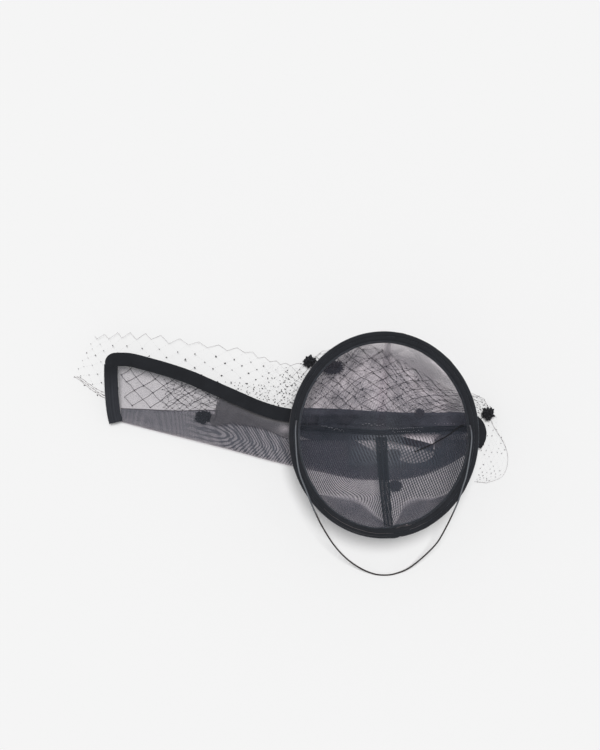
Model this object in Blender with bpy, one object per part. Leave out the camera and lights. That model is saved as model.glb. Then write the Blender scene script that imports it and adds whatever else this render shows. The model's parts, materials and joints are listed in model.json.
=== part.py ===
"""Bow headpiece: a sheer cap with a velvet rim, a wired bow, a net veil with tufts and an elastic.

The cap lies on its crown, with its opening up. Metres, +Z up, +Y to the cap's front, +X to its right
as it lies. The origin is on the flat underside of the bow's waist, under the middle of the crown.
"""

import math

import bmesh
import bpy
from mathutils import Vector

# Cloth and clearances
CLOTH = 0.0010  # stiffened sheer
GAP = 0.0003  # between pieces that touch
SEAT = 0.0006  # between the crown and what lies on its inside

# Cap
RIM_WIDTH = 0.1660  # outside the roll, side to side
RIM_LENGTH = 0.1807  # outside the roll, back to front
CROWN_DEPTH = 0.060  # inside, from the crown's middle to the top of the rim
CROWN_TURN = math.radians(72)  # how far the crown has turned up where it meets the rim
CROWN_HOLE = math.radians(1.4)  # the panels' points stop this far short of the middle
DENT_DEPTH = 0.0022
DENT_SPAN = 0.17  # half height of a dent, as a share of the crown's turn
ROLL = 0.0048  # velvet roll round the rim's wire
BAND_HEIGHT = 0.0062  # flat velvet band inside the rim, measured down the crown
BAND_THICKNESS = 0.0012
EDGE_DROP = 0.0012  # the crown's raw edge and the band's edge lie this far below the roll's top
TAPE = 0.0009
SEAM_WIDTH = 0.0046  # seam from side to side
BACK_TAPE_WIDTH = 0.0106  # at the crown's middle
FRONT_TAPE_WIDTH = 0.0086
TAPE_TAPER = 0.70  # the tapes' width at the rim, as a share of their width in the middle
RIM_STEPS = 56
CROWN_STEPS = 10
SEAM_STEPS = 8

# Bow
BOW_LEFT = 0.2365  # from the crown's middle to the left end of the bow's sheer
BOW_RIGHT = 0.0850
BOW_WIDTH = 0.0620
BOW_LOFT = 0.0270  # height of the wing's wired edge over the floor
BOW_HEIGHT = 0.0140  # of the bow under the crown
FOLD_RADIUS = 0.0045  # of the wing's lower fold
WING_SAG = 0.10  # of the wing's upper layer, as a share of its rise over the fold
BINDING_WIDTH = 0.0123
BINDING_THICKNESS = 0.0030
BINDING_LEVEL = 0.490  # its middle's height beside the crown, as a share of BOW_LOFT
OVAL = 0.6  # how square a binding's section is: 1 would be an ellipse, 0 a rectangle
WAIST_LEFT = 0.0795
WAIST_RIGHT = 0.0800
WAIST_WIDTH = 0.0256
WAIST_HEIGHT = 0.0104
WAIST_CORNER = 0.25  # of its top edges and its foot, as shares of its height
WAIST_FOOT = 0.10
PLEATS = 3
PLEAT_DEPTH = 0.0012
STRAP_WIDTH = 0.0064  # narrow velvet edge across the bow's right half
STRAP_THICKNESS = 0.0015

# Veil
VEIL_LEFT = 0.2790
VEIL_RIGHT = 0.1170
VEIL_FRONT = 0.0900
VEIL_THICKNESS = 0.0010
VEIL_RIPPLE = 0.0060
VEIL_WAVE = 0.0700
RIPPLE_LEFT = (0.34, 0.46)  # where the ripples begin and are full, as shares of VEIL_LEFT
RIPPLE_FRONT = (0.30, 0.85)  # and of VEIL_FRONT
NET_COLUMNS = 21  # whole diamonds along the veil
NET_ROWS = 3  # and across it
NET_BAR = 0.0013  # half the width of the net's bars

# Tufts and cords
TUFT = 0.0058
TUFT_LOCK = 0.24  # how far the locks stand out, as a share of the tuft's radius
ELASTIC = 0.0014
ELASTIC_TAIL = 0.0009
ELASTIC_POINTS = 56
TAIL_POINTS = 20
LINE_FINENESS = 20  # steps between two points of a smooth line, while it is measured

APEX = BOW_HEIGHT + GAP + CLOTH / 2  # height of the crown's middle, inside its wall
RIM_TOP = BOW_HEIGHT + GAP + CLOTH + CROWN_DEPTH
CROWN_RISE = RIM_TOP - EDGE_DROP - APEX
CROWN_A = RIM_WIDTH / 2 - ROLL - GAP - CLOTH / 2  # half widths of the crown's wall at the rim
CROWN_B = RIM_LENGTH / 2 - ROLL - GAP - CLOTH / 2

# Bearings of the crown's four seams, in degrees from +X. The cap leans a little on its crown.
SEAMS = {"right": 4.0, "front": 86.5, "left": 176.0, "back": 273.5}

# Shallow dents of the crown: bearing in degrees, half width in degrees, turn where it is deepest,
# and depth as a share of DENT_DEPTH
CROWN_DENTS = (
    {"bearing": 244, "reach": 24, "turn": 0.66, "depth": 1.0},
    {"bearing": 292, "reach": 22, "turn": 0.66, "depth": 0.9},
    {"bearing": 128, "reach": 30, "turn": 0.62, "depth": 0.5},
)

# The bow's sheer, folded over along its lower side. at: place along the bow, as a share of its left
# or right reach; edge, fold, end: where the bound edge, the fold and the loose edge underneath lie
# across it, as shares of BOW_WIDTH; rise: height of the bound edge, as a share of BOW_LOFT; round:
# the fold's radius, as a share of FOLD_RADIUS; lift: what the lower layer clears below it, as a share
# of VEIL_THICKNESS.
BOW_SECTIONS = (
    {"at": -1.000, "edge": 0.970, "fold": 0.155, "end": 0.350, "rise": 0.94, "round": 0.9, "lift": 0.0},
    {"at": -0.900, "edge": 0.905, "fold": 0.055, "end": 0.335, "rise": 0.95, "round": 1.0, "lift": 0.0},
    {"at": -0.780, "edge": 0.770, "fold": -0.060, "end": 0.315, "rise": 0.90, "round": 1.1, "lift": 0.0},
    {"at": -0.660, "edge": 0.582, "fold": -0.175, "end": 0.325, "rise": 0.84, "round": 1.2, "lift": 0.0},
    {"at": -0.550, "edge": 0.378, "fold": -0.285, "end": 0.280, "rise": 0.74, "round": 1.2, "lift": 0.0},
    {"at": -0.450, "edge": 0.203, "fold": -0.390, "end": 0.080, "rise": 0.62, "round": 1.2, "lift": 0.0},
    {"at": -0.345, "edge": 0.125, "fold": -0.490, "end": -0.110, "rise": 0.50, "round": 1.2, "lift": 0.0},
    {"at": -0.250, "edge": 0.102, "fold": -0.565, "end": -0.110, "rise": 0.44, "round": 1.1, "lift": 0.0},
    {"at": -0.110, "edge": 0.100, "fold": -0.680, "end": -0.110, "rise": 0.44, "round": 1.0, "lift": 0.0},
    {"at": 0.000, "edge": 0.095, "fold": -0.700, "end": -0.110, "rise": 0.44, "round": 1.0, "lift": 0.0},
    {"at": 0.220, "edge": 0.080, "fold": -0.695, "end": -0.110, "rise": 0.44, "round": 1.0, "lift": 0.0},
    {"at": 0.480, "edge": 0.080, "fold": -0.620, "end": -0.110, "rise": 0.44, "round": 1.0, "lift": 0.0},
    {"at": 0.740, "edge": 0.080, "fold": -0.470, "end": -0.110, "rise": 0.46, "round": 0.9, "lift": 0.3},
    {"at": 0.930, "edge": 0.040, "fold": -0.310, "end": -0.110, "rise": 0.42, "round": 0.8, "lift": 1.6},
)

# Middle line of the velvet that binds the bow's left end, wired edge and right end. x as a share of
# the bow's left or right reach, y of BOW_WIDTH, z of BOW_LOFT.
BINDING_LINE = (
    {"x": -1.0150, "y": 0.150, "z": 0.37},
    {"x": -1.0215, "y": 0.260, "z": 0.44},
    {"x": -1.0260, "y": 0.440, "z": 0.58},
    {"x": -1.0275, "y": 0.640, "z": 0.76},
    {"x": -1.0275, "y": 0.860, "z": 0.95},
    {"x": -1.0160, "y": 1.010, "z": 1.01},
    {"x": -0.985, "y": 1.074, "z": 1.02},
    {"x": -0.947, "y": 1.056, "z": 1.01},
    {"x": -0.886, "y": 0.997, "z": 1.00},
    {"x": -0.805, "y": 0.909, "z": 0.97},
    {"x": -0.723, "y": 0.801, "z": 0.93},
    {"x": -0.639, "y": 0.661, "z": 0.88},
    {"x": -0.556, "y": 0.521, "z": 0.81},
    {"x": -0.479, "y": 0.392, "z": 0.72},
    {"x": -0.410, "y": 0.303, "z": 0.62},
    {"x": -0.343, "y": 0.250, "z": 0.53},
    {"x": -0.280, "y": 0.236, "z": BINDING_LEVEL},
    {"x": -0.150, "y": 0.232, "z": BINDING_LEVEL},
    {"x": 0.000, "y": 0.212, "z": BINDING_LEVEL},
    {"x": 0.250, "y": 0.196, "z": BINDING_LEVEL},
    {"x": 0.590, "y": 0.196, "z": BINDING_LEVEL},
    {"x": 0.880, "y": 0.196, "z": 0.505},
    {"x": 1.000, "y": 0.150, "z": 0.500},
    {"x": 1.050, "y": 0.040, "z": 0.460},
    {"x": 1.050, "y": -0.080, "z": 0.400},
    {"x": 1.010, "y": -0.190, "z": 0.340},
)

# The gathered waist. at: share of its left or right reach; front, back: its sides, as shares of
# WAIST_WIDTH from the crown's middle; height: share of WAIST_HEIGHT.
WAIST_SECTIONS = (
    {"at": -1.00, "front": 0.83, "back": -0.05, "height": 0.74},
    {"at": -0.93, "front": 0.86, "back": -0.12, "height": 0.88},
    {"at": -0.72, "front": 0.86, "back": -0.14, "height": 1.00},
    {"at": -0.38, "front": 0.82, "back": -0.14, "height": 1.00},
    {"at": 0.00, "front": 0.73, "back": -0.14, "height": 1.00},
    {"at": 0.28, "front": 0.67, "back": -0.14, "height": 1.00},
    {"at": 0.62, "front": 0.70, "back": -0.12, "height": 1.00},
    {"at": 0.90, "front": 0.72, "back": -0.06, "height": 0.90},
    {"at": 1.00, "front": 0.66, "back": 0.00, "height": 0.76},
)

# The bow's short inner layer under the wing, and its second layer on the right. x as a share of the
# bow's reach, front and back, its two long sides, as shares of BOW_WIDTH, heights of BOW_LOFT.
INNER_LAYER = (
    {"x": -0.640, "front": 0.440, "back": 0.330, "front_z": 0.34, "back_z": 0.34},
    {"x": -0.628, "front": 0.480, "back": 0.150, "front_z": 0.35, "back_z": 0.33},
    {"x": -0.605, "front": 0.470, "back": 0.105, "front_z": 0.36, "back_z": 0.32},
    {"x": -0.580, "front": 0.485, "back": 0.125, "front_z": 0.36, "back_z": 0.31},
    {"x": -0.520, "front": 0.440, "back": 0.090, "front_z": 0.36, "back_z": 0.29},
    {"x": -0.440, "front": 0.370, "back": 0.085, "front_z": 0.32, "back_z": 0.27},
    {"x": -0.3376, "front": 0.320, "back": 0.020, "front_z": 0.24, "back_z": 0.24},
)
RIGHT_LAYER = (
    {"x": 0.575, "front": -0.270, "back": -0.400, "front_z": 0.440, "back_z": 0.420},
    {"x": 0.610, "front": -0.190, "back": -0.510, "front_z": 0.445, "back_z": 0.410},
    {"x": 0.720, "front": -0.120, "back": -0.460, "front_z": 0.455, "back_z": 0.415},
    {"x": 0.850, "front": -0.090, "back": -0.370, "front_z": 0.458, "back_z": 0.425},
    {"x": 0.920, "front": -0.085, "back": -0.300, "front_z": 0.458, "back_z": 0.425},
)
STRAP_LINE = (
    {"x": 0.060, "y": -0.052, "z": 0.487},
    {"x": 0.240, "y": -0.112, "z": 0.478},
    {"x": 0.420, "y": -0.172, "z": 0.466},
    {"x": 0.560, "y": -0.224, "z": 0.460},
)

# The veil's two long edges, from its left end to its right one. x as a share of VEIL_LEFT or
# VEIL_RIGHT, y of VEIL_FRONT. Beside the waist the inner edge keeps clear of the waist's front.
VEIL_EDGES = (
    {"inner_x": -1.000, "inner_y": 0.560, "outer_x": -0.932, "outer_y": 0.975},
    {"inner_x": -0.905, "inner_y": 0.345, "outer_x": -0.842, "outer_y": 1.010},
    {"inner_x": -0.770, "inner_y": 0.255, "outer_x": -0.735, "outer_y": 0.990},
    {"inner_x": -0.630, "inner_y": 0.265, "outer_x": -0.592, "outer_y": 0.915},
    {"inner_x": -0.484, "inner_y": 0.275, "outer_x": -0.448, "outer_y": 0.845},
    {"inner_x": -0.360, "inner_y": 0.280, "outer_x": -0.352, "outer_y": 0.735},
    {"inner_x": -0.275, "inner_y": 0.251, "outer_x": -0.270, "outer_y": 0.700},
    {"inner_x": -0.160, "inner_y": 0.243, "outer_x": -0.170, "outer_y": 0.845},
    {"inner_x": -0.040, "inner_y": 0.222, "outer_x": -0.050, "outer_y": 0.890},
    {"inner_x": 0.210, "inner_y": 0.198, "outer_x": 0.200, "outer_y": 0.710},
    {"inner_x": 0.470, "inner_y": 0.201, "outer_x": 0.540, "outer_y": 0.445},
    {"inner_x": 0.705, "inner_y": 0.206, "outer_x": 0.800, "outer_y": 0.350},
    {"inner_x": 0.745, "inner_y": 0.060, "outer_x": 0.940, "outer_y": 0.060},
    {"inner_x": 0.765, "inner_y": -0.180, "outer_x": 1.000, "outer_y": -0.240},
    {"inner_x": 0.755, "inner_y": -0.400, "outer_x": 0.960, "outer_y": -0.440},
    {"inner_x": 0.735, "inner_y": -0.500, "outer_x": 0.830, "outer_y": -0.515},
)

# Tufts. x as a share of the bow's reach, y of BOW_WIDTH, rest: what it sits on; size and squash:
# shares of TUFT, across and upright.
TUFTS = (
    {"name": "tuft_front_left", "x": -0.271, "y": 1.040, "rest": "floor", "size": 1.00, "squash": 1.00},
    {"name": "tuft_front_crown", "x": -0.186, "y": 0.960, "rest": "veil", "size": 1.00, "squash": 1.00},
    {"name": "tuft_right", "x": 1.150, "y": 0.276, "rest": "veil", "size": 1.00, "squash": 1.00},
    {"name": "tuft_under_wing", "x": -0.681, "y": 0.226, "rest": "wing", "size": 1.00, "squash": 0.95},
    {"name": "tuft_on_waist", "x": 0.412, "y": 0.284, "rest": "binding", "size": 0.92, "squash": 0.52},
    {"name": "tuft_in_fold", "x": 0.145, "y": -0.330, "rest": "wing", "size": 0.86, "squash": 0.66},
    {"name": "tuft_back", "x": 0.157, "y": -0.784, "rest": "floor", "size": 0.94, "squash": 0.94},
)

# The elastic, from where it is sewn in on the left, over the rim, down to the floor and back up. x
# and y as shares of the rim's half width and half length, z of the rim's height.
ELASTIC_ROUTE = (
    {"x": -0.9181, "y": 0.1417, "z": 0.9980},
    {"x": -0.9265, "y": 0.0664, "z": 0.9987},
    {"x": -0.9265, "y": -0.0221, "z": 0.9987},
    {"x": -0.9133, "y": -0.2214, "z": 1.0053},
    {"x": -0.8819, "y": -0.3763, "z": 1.0146},
    {"x": -0.8181, "y": -0.5291, "z": 1.0159},
    {"x": -0.7663, "y": -0.6519, "z": 1.0080},
    {"x": -0.7133, "y": -0.7659, "z": 0.8964},
    {"x": -0.6361, "y": -0.9153, "z": 0.7171},
    {"x": -0.5157, "y": -1.1002, "z": 0.4914},
    {"x": -0.3819, "y": -1.2463, "z": 0.2922},
    {"x": -0.2253, "y": -1.3603, "z": 0.1262},
    {"x": -0.0759, "y": -1.4256, "z": 0.0345},
    {"x": 0.0470, "y": -1.4422, "z": 0.0113},
    {"x": 0.1651, "y": -1.4256, "z": 0.0345},
    {"x": 0.3108, "y": -1.3603, "z": 0.1262},
    {"x": 0.4651, "y": -1.2263, "z": 0.2922},
    {"x": 0.5916, "y": -1.0769, "z": 0.4914},
    {"x": 0.6711, "y": -0.9098, "z": 0.7171},
    {"x": 0.7301, "y": -0.7615, "z": 0.8964},
    {"x": 0.7783, "y": -0.6342, "z": 1.0080},
    {"x": 0.8229, "y": -0.5025, "z": 1.0159},
    {"x": 0.8602, "y": -0.3940, "z": 1.0146},
    {"x": 0.8940, "y": -0.2302, "z": 1.0080},
    {"x": 0.9181, "y": -0.0631, "z": 0.9987},
    {"x": 0.9157, "y": 0.0310, "z": 0.9987},
    {"x": 0.8988, "y": 0.0952, "z": 0.9980},
)
# The elastic's loose tail, which lies on the crown's inside, from the rim's band towards the middle.
TAIL_ROUTE = (
    {"x": 0.848, "y": 0.095},
    {"x": 0.824, "y": 0.085},
    {"x": 0.795, "y": 0.062},
    {"x": 0.712, "y": -0.006},
    {"x": 0.646, "y": -0.048},
    {"x": 0.575, "y": -0.090},
    {"x": 0.512, "y": -0.121},
    {"x": 0.451, "y": -0.147},
    {"x": 0.361, "y": -0.187},
)


def clear_scene():
    for obj in list(bpy.data.objects):
        bpy.data.objects.remove(obj)


def material(name, colour, roughness):
    mat = bpy.data.materials.new(name)
    mat.use_nodes = True
    shader = mat.node_tree.nodes["Principled BSDF"]
    shader.inputs["Base Color"].default_value = (*colour, 1)
    shader.inputs["Roughness"].default_value = roughness
    shader.inputs["Metallic"].default_value = 0
    return mat


def finish(name, mesh, mat):
    obj = bpy.data.objects.new(name, mesh)
    mesh.materials.append(mat)
    bpy.context.scene.collection.objects.link(obj)
    return obj


def smooth_value(before, start, end, after, share):
    """Catmull-Rom value between start and end."""
    return 0.5 * (
        2 * start
        + (end - before) * share
        + (2 * before - 5 * start + 4 * end - after) * share**2
        + (3 * start - before - 3 * end + after) * share**3
    )


def read_table(rows, place):
    """A row of the table between its rows, with place running from 0 at the first to 1 at the last."""
    at = min(max(place, 0), 1) * (len(rows) - 1)
    first = min(int(at), len(rows) - 2)
    near = [rows[min(max(first + k, 0), len(rows) - 1)] for k in (-1, 0, 1, 2)]
    return {key: smooth_value(*[row[key] for row in near], at - first) for key in rows[0]}


def find_row(rows, key, value):
    """The row of the table, or between its rows, where the rising column reaches the value."""
    low, high = 0.0, 1.0
    for _ in range(30):
        place = (low + high) / 2
        if read_table(rows, place)[key] < value:
            low = place
        else:
            high = place
    return read_table(rows, (low + high) / 2)


def smooth_line(points, count):
    """Evenly spaced points on a smooth curve through the given ones."""
    rows = [{"x": p[0], "y": p[1], "z": p[2]} for p in points]
    steps = LINE_FINENESS * count
    fine = [read_table(rows, k / steps) for k in range(steps + 1)]
    fine = [Vector((row["x"], row["y"], row["z"])) for row in fine]
    along = [0.0]
    for a, b in zip(fine, fine[1:]):
        along.append(along[-1] + (b - a).length)
    line, near = [], 0
    for k in range(count):
        target = along[-1] * k / (count - 1)
        while near < len(fine) - 2 and along[near + 1] < target:
            near += 1
        share = (target - along[near]) / (along[near + 1] - along[near])
        line.append(fine[near].lerp(fine[near + 1], share))
    return line


def reach(share, left, right):
    return share * (left if share < 0 else right)


def ease(value, low, high):
    """0 below low, 1 above high, smooth between."""
    t = min(max((value - low) / (high - low), 0), 1)
    return t * t * (3 - 2 * t)


def grid_mesh(name, grid, closed=False):
    """Quads over rows of points; closed joins the last row to the first."""
    bm = bmesh.new()
    rows = [[bm.verts.new(p) for p in row] for row in grid]
    pairs = list(zip(rows, rows[1:])) + ([(rows[-1], rows[0])] if closed else [])
    for a, b in pairs:
        for k in range(len(a) - 1):
            bm.faces.new((a[k], a[k + 1], b[k + 1], b[k]))
    mesh = bpy.data.meshes.new(name)
    bm.to_mesh(mesh)
    bm.free()
    mesh.shade_smooth()
    return mesh


def sheet(name, grid, thickness, mat, closed=False):
    """A cloth wall of that thickness, centred on the surface that the grid gives."""
    obj = finish(name, grid_mesh(name, grid, closed), mat)
    solid = obj.modifiers.new("Solidify", "SOLIDIFY")
    solid.thickness = thickness
    solid.offset = 0
    solid.use_even_offset = True
    return obj


def rings_mesh(name, rings, closed):
    """A closed body through rings of points: a loop of rings, or a stack with capped ends."""
    bm = bmesh.new()
    loops = [[bm.verts.new(p) for p in ring] for ring in rings]
    pairs = list(zip(loops, loops[1:])) + ([(loops[-1], loops[0])] if closed else [])
    for a, b in pairs:
        for k in range(len(a)):
            n = (k + 1) % len(a)
            bm.faces.new((a[k], a[n], b[n], b[k]))
    if not closed:
        bm.faces.new(loops[0])
        bm.faces.new(list(reversed(loops[-1])))
    bmesh.ops.recalc_face_normals(bm, faces=bm.faces)
    mesh = bpy.data.meshes.new(name)
    bm.to_mesh(mesh)
    bm.free()
    mesh.shade_smooth()
    mesh.set_sharp_from_angle(angle=math.radians(50))
    return mesh


def ribbon(name, line, width, thickness, mat, sides=8):
    """A flat velvet binding of oval section that follows the line, lying level across it."""
    rings = []
    for k, p in enumerate(line):
        along = line[min(k + 1, len(line) - 1)] - line[max(k - 1, 0)]
        across = Vector((0, 0, 1)).cross(along).normalized()
        up = along.cross(across).normalized()
        ring = []
        for s in range(sides):
            a = 2 * math.pi * (s + 0.5) / sides
            wide = width / 2 * math.copysign(abs(math.cos(a)) ** OVAL, math.cos(a))
            high = thickness / 2 * math.copysign(abs(math.sin(a)) ** OVAL, math.sin(a))
            ring.append(p + across * wide + up * high)
        rings.append(ring)
    return finish(name, rings_mesh(name, rings, False), mat)


def dent(bearing, turn):
    """How far the crown is pushed in at a bearing and at a share of its turn."""
    total = 0.0
    for row in CROWN_DENTS:
        side = (math.degrees(bearing) - row["bearing"] + 180) % 360 - 180
        across = max(0.0, 1 - (side / row["reach"]) ** 2)
        down = max(0.0, 1 - ((turn - row["turn"]) / DENT_SPAN) ** 2)
        total += DENT_DEPTH * row["depth"] * across**2 * down**2
    return total


def crown_point(bearing, turn, outward=0.0):
    """A point of the crown: turn runs from 0 in its middle to 1 at the rim, outward is an offset."""
    angle = turn * CROWN_TURN
    wide = math.sin(angle) / math.sin(CROWN_TURN)
    drop = (math.cos(angle) - math.cos(CROWN_TURN)) / (1 - math.cos(CROWN_TURN))
    pushed = dent(bearing, turn)
    x = ((CROWN_A + outward) * wide - pushed) * math.cos(bearing)
    y = ((CROWN_B + outward) * wide - pushed) * math.sin(bearing)
    return Vector((x, y, APEX + CROWN_RISE - (CROWN_RISE + outward) * drop))


def crown_panels(mat):
    names = ("crown_front_right", "crown_front_left", "crown_back_left", "crown_back_right")
    seams = [math.radians(bearing) for bearing in SEAMS.values()]
    seams.append(seams[0] + 2 * math.pi)
    steps = RIM_STEPS // 4
    start = CROWN_HOLE / CROWN_TURN
    for name, right, left in zip(names, seams, seams[1:]):
        grid = []
        for k in range(CROWN_STEPS + 1):
            turn = start + (1 - start) * k / CROWN_STEPS
            seam = (GAP / 2) / crown_point(0, turn).x
            low, high = right + seam, left - seam
            grid.append([crown_point(low + (high - low) * s / steps, turn) for s in range(steps + 1)])
        sheet(name, grid, CLOTH, mat)


def band_turn():
    """The share of the crown's turn at which the rim band's lower edge lies."""
    return 1 - BAND_HEIGHT / (CROWN_TURN * (CROWN_A / math.sin(CROWN_TURN)))


def rim(velvet):
    rings = []
    middle = Vector((RIM_WIDTH / 2 - ROLL / 2, RIM_LENGTH / 2 - ROLL / 2, RIM_TOP - ROLL / 2))
    sides = 8
    for k in range(RIM_STEPS):
        bearing = 2 * math.pi * k / RIM_STEPS
        ring = []
        for s in range(sides):
            a = 2 * math.pi * (s + 0.5) / sides
            out = ROLL / 2 * math.cos(a)
            x = (middle.x + out) * math.cos(bearing)
            y = (middle.y + out) * math.sin(bearing)
            ring.append(Vector((x, y, middle.z + ROLL / 2 * math.sin(a))))
        rings.append(ring)
    finish("rim_roll", rings_mesh("rim_roll", rings, True), velvet)

    inward = -(CLOTH / 2 + SEAT + BAND_THICKNESS / 2)
    low = band_turn()
    grid = []
    for k in range(RIM_STEPS):
        bearing = 2 * math.pi * k / RIM_STEPS
        grid.append([crown_point(bearing, low + (1 - low) * s / 2, inward) for s in range(3)])
    sheet("rim_band", grid, BAND_THICKNESS, velvet, closed=True)


def tape(name, places, widths, across, mat):
    """A flat tape on the crown's inside, along a line of bearings and turns."""
    inward = -(CLOTH / 2 + SEAT + TAPE / 2)
    grid = []
    for (bearing, turn), width in zip(places, widths):
        middle = crown_point(bearing, turn, inward)
        sides = [middle + across * width / 2 * side for side in (-1, 0, 1)]
        grid.append([on_crown(p.x, p.y, inward) for p in sides])
    sheet(name, grid, TAPE, mat)


def seam_tapes(mat):
    """Tapes over the crown's seams, inside: one from side to side, one to the back, one to the front."""
    left, right = math.radians(SEAMS["left"]), math.radians(SEAMS["right"])
    top = band_turn() - (GAP + TAPE) / CROWN_A
    turns = [top * k / SEAM_STEPS for k in range(SEAM_STEPS + 1)]
    places = [(left, turn) for turn in reversed(turns[1:])] + [(right, turn) for turn in turns]
    tape("cross_seam", places, [SEAM_WIDTH] * len(places), Vector((0, 1, 0)), mat)

    start = (SEAM_WIDTH / 2 + 2 * GAP) / CROWN_B
    turns = [start + (top - start) * k / SEAM_STEPS for k in range(SEAM_STEPS + 1)]
    for side, width in (("back", BACK_TAPE_WIDTH), ("front", FRONT_TAPE_WIDTH)):
        places = [(math.radians(SEAMS[side]), turn) for turn in turns]
        widths = [width * (1 + (TAPE_TAPER - 1) * turn) for turn in turns]
        tape(side + "_seam_tape", places, widths, Vector((1, 0, 0)), mat)


def on_crown(x, y, outward):
    """The point of the crown's offset surface over a place in plan."""
    bearing = math.atan2(y / (CROWN_B + outward), x / (CROWN_A + outward))
    low, high = 0.0, 1.0
    distance = math.hypot(x, y)
    for _ in range(30):
        turn = (low + high) / 2
        p = crown_point(bearing, turn, outward)
        if math.hypot(p.x, p.y) < distance:
            low = turn
        else:
            high = turn
    return Vector((x, y, crown_point(bearing, (low + high) / 2, outward).z))


def bow_row(place):
    row = read_table(BOW_SECTIONS, place)
    row["x"] = reach(row["at"], BOW_LEFT, BOW_RIGHT)
    for key in ("edge", "fold", "end"):
        row[key] *= BOW_WIDTH
    row["rise"] *= BOW_LOFT
    row["round"] *= FOLD_RADIUS
    row["lift"] = CLOTH / 2 + max(row["lift"], 0) * VEIL_THICKNESS
    return row


def bow_section(place):
    """The folded sheer across the bow: upper layer, fold, and the lower layer underneath."""
    row = bow_row(place)
    radius = row["round"]
    turn_y = row["fold"] + radius
    top = row["lift"] + 2 * radius
    points = []
    for k in range(6):
        share = k / 6
        sag = WING_SAG * (row["rise"] - top) * math.sin(math.pi * share)
        y = row["edge"] + (turn_y - row["edge"]) * share
        points.append(Vector((row["x"], y, row["rise"] + (top - row["rise"]) * share - sag)))
    for k in range(5):
        a = math.pi / 2 + math.pi * k / 4
        y = turn_y + radius * math.cos(a)
        points.append(Vector((row["x"], y, row["lift"] + radius + radius * math.sin(a))))
    for k in (1, 2):
        y = turn_y + (row["end"] - turn_y) * k / 2
        points.append(Vector((row["x"], y, row["lift"])))
    return points


def place_line(rows, count):
    points = [
        (reach(row["x"], BOW_LEFT, BOW_RIGHT), row["y"] * BOW_WIDTH, row["z"] * BOW_LOFT) for row in rows
    ]
    return smooth_line(points, count)


def layer_grid(rows, steps, across):
    grid = []
    for k in range(steps + 1):
        row = read_table(rows, k / steps)
        x = reach(row["x"], BOW_LEFT, BOW_RIGHT)
        line = []
        for s in range(across + 1):
            y = row["front"] + (row["back"] - row["front"]) * s / across
            z = row["front_z"] + (row["back_z"] - row["front_z"]) * s / across
            line.append(Vector((x, y * BOW_WIDTH, z * BOW_LOFT)))
        grid.append(line)
    return grid


def bow(sheer, velvet):
    steps = 26
    sheet("bow_wing", [bow_section(k / steps) for k in range(steps + 1)], CLOTH, sheer)
    ribbon("bow_binding", place_line(BINDING_LINE, 46), BINDING_WIDTH, BINDING_THICKNESS, velvet)
    sheet("bow_inner_layer", layer_grid(INNER_LAYER, 10, 3), CLOTH, sheer)
    sheet("bow_right_layer", layer_grid(RIGHT_LAYER, 6, 3), CLOTH, sheer)
    ribbon("bow_strap", place_line(STRAP_LINE, 8), STRAP_WIDTH, STRAP_THICKNESS, velvet)


def waist_ring(place):
    """One section of the waist: flat underneath, round at its sides, pleated on top."""
    row = read_table(WAIST_SECTIONS, place)
    x = reach(row["at"], WAIST_LEFT, WAIST_RIGHT)
    front, back = row["front"] * WAIST_WIDTH, row["back"] * WAIST_WIDTH
    height = row["height"] * WAIST_HEIGHT
    corner, foot = WAIST_CORNER * height, WAIST_FOOT * height
    points = [(front - foot, 0.0), (front, foot), (front, height - corner)]
    tops = 4 * PLEATS
    for k in range(tops + 1):
        share = k / tops
        y = (front - corner) + (back - front + 2 * corner) * share
        fall = PLEAT_DEPTH * (0.5 - 0.5 * math.cos(2 * math.pi * PLEATS * share))
        points.append((y, height - fall))
    points += [(back, height - corner), (back, foot), (back + foot, 0.0)]
    return [Vector((x, y, z)) for y, z in points]


def waist(mat):
    steps = 16
    rings = [waist_ring(k / steps) for k in range(steps + 1)]
    finish("bow_waist", rings_mesh("bow_waist", rings, False), mat)


def veil_height(x, y):
    """Ripples of the veil where it lies free, left of the cap. It is flat elsewhere."""
    wave = 0.5 - 0.5 * math.cos(2 * math.pi * (x + VEIL_LEFT) / VEIL_WAVE)
    free = ease(-x / VEIL_LEFT, *RIPPLE_LEFT) * ease(y / VEIL_FRONT, *RIPPLE_FRONT)
    return VEIL_THICKNESS / 2 + VEIL_RIPPLE * wave * free


def waist_front(x):
    """The waist's front side at a place along the bow, or far behind it past the waist's ends."""
    at = x / (WAIST_LEFT if x < 0 else WAIST_RIGHT)
    if abs(at) > 1:
        return -BOW_WIDTH
    return find_row(WAIST_SECTIONS, "at", at)["front"] * WAIST_WIDTH


def veil_point(u, v):
    """A point of the veil: u runs along it from the left, v across it from its inner edge."""
    row = read_table(VEIL_EDGES, u)
    inner_x = reach(row["inner_x"], VEIL_LEFT, VEIL_RIGHT)
    outer_x = reach(row["outer_x"], VEIL_LEFT, VEIL_RIGHT)
    inner_y = max(row["inner_y"] * VEIL_FRONT, waist_front(inner_x) + GAP)
    x = inner_x + (outer_x - inner_x) * v
    y = inner_y + (row["outer_y"] * VEIL_FRONT - inner_y) * v
    return Vector((x, y, veil_height(x, y)))


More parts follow.
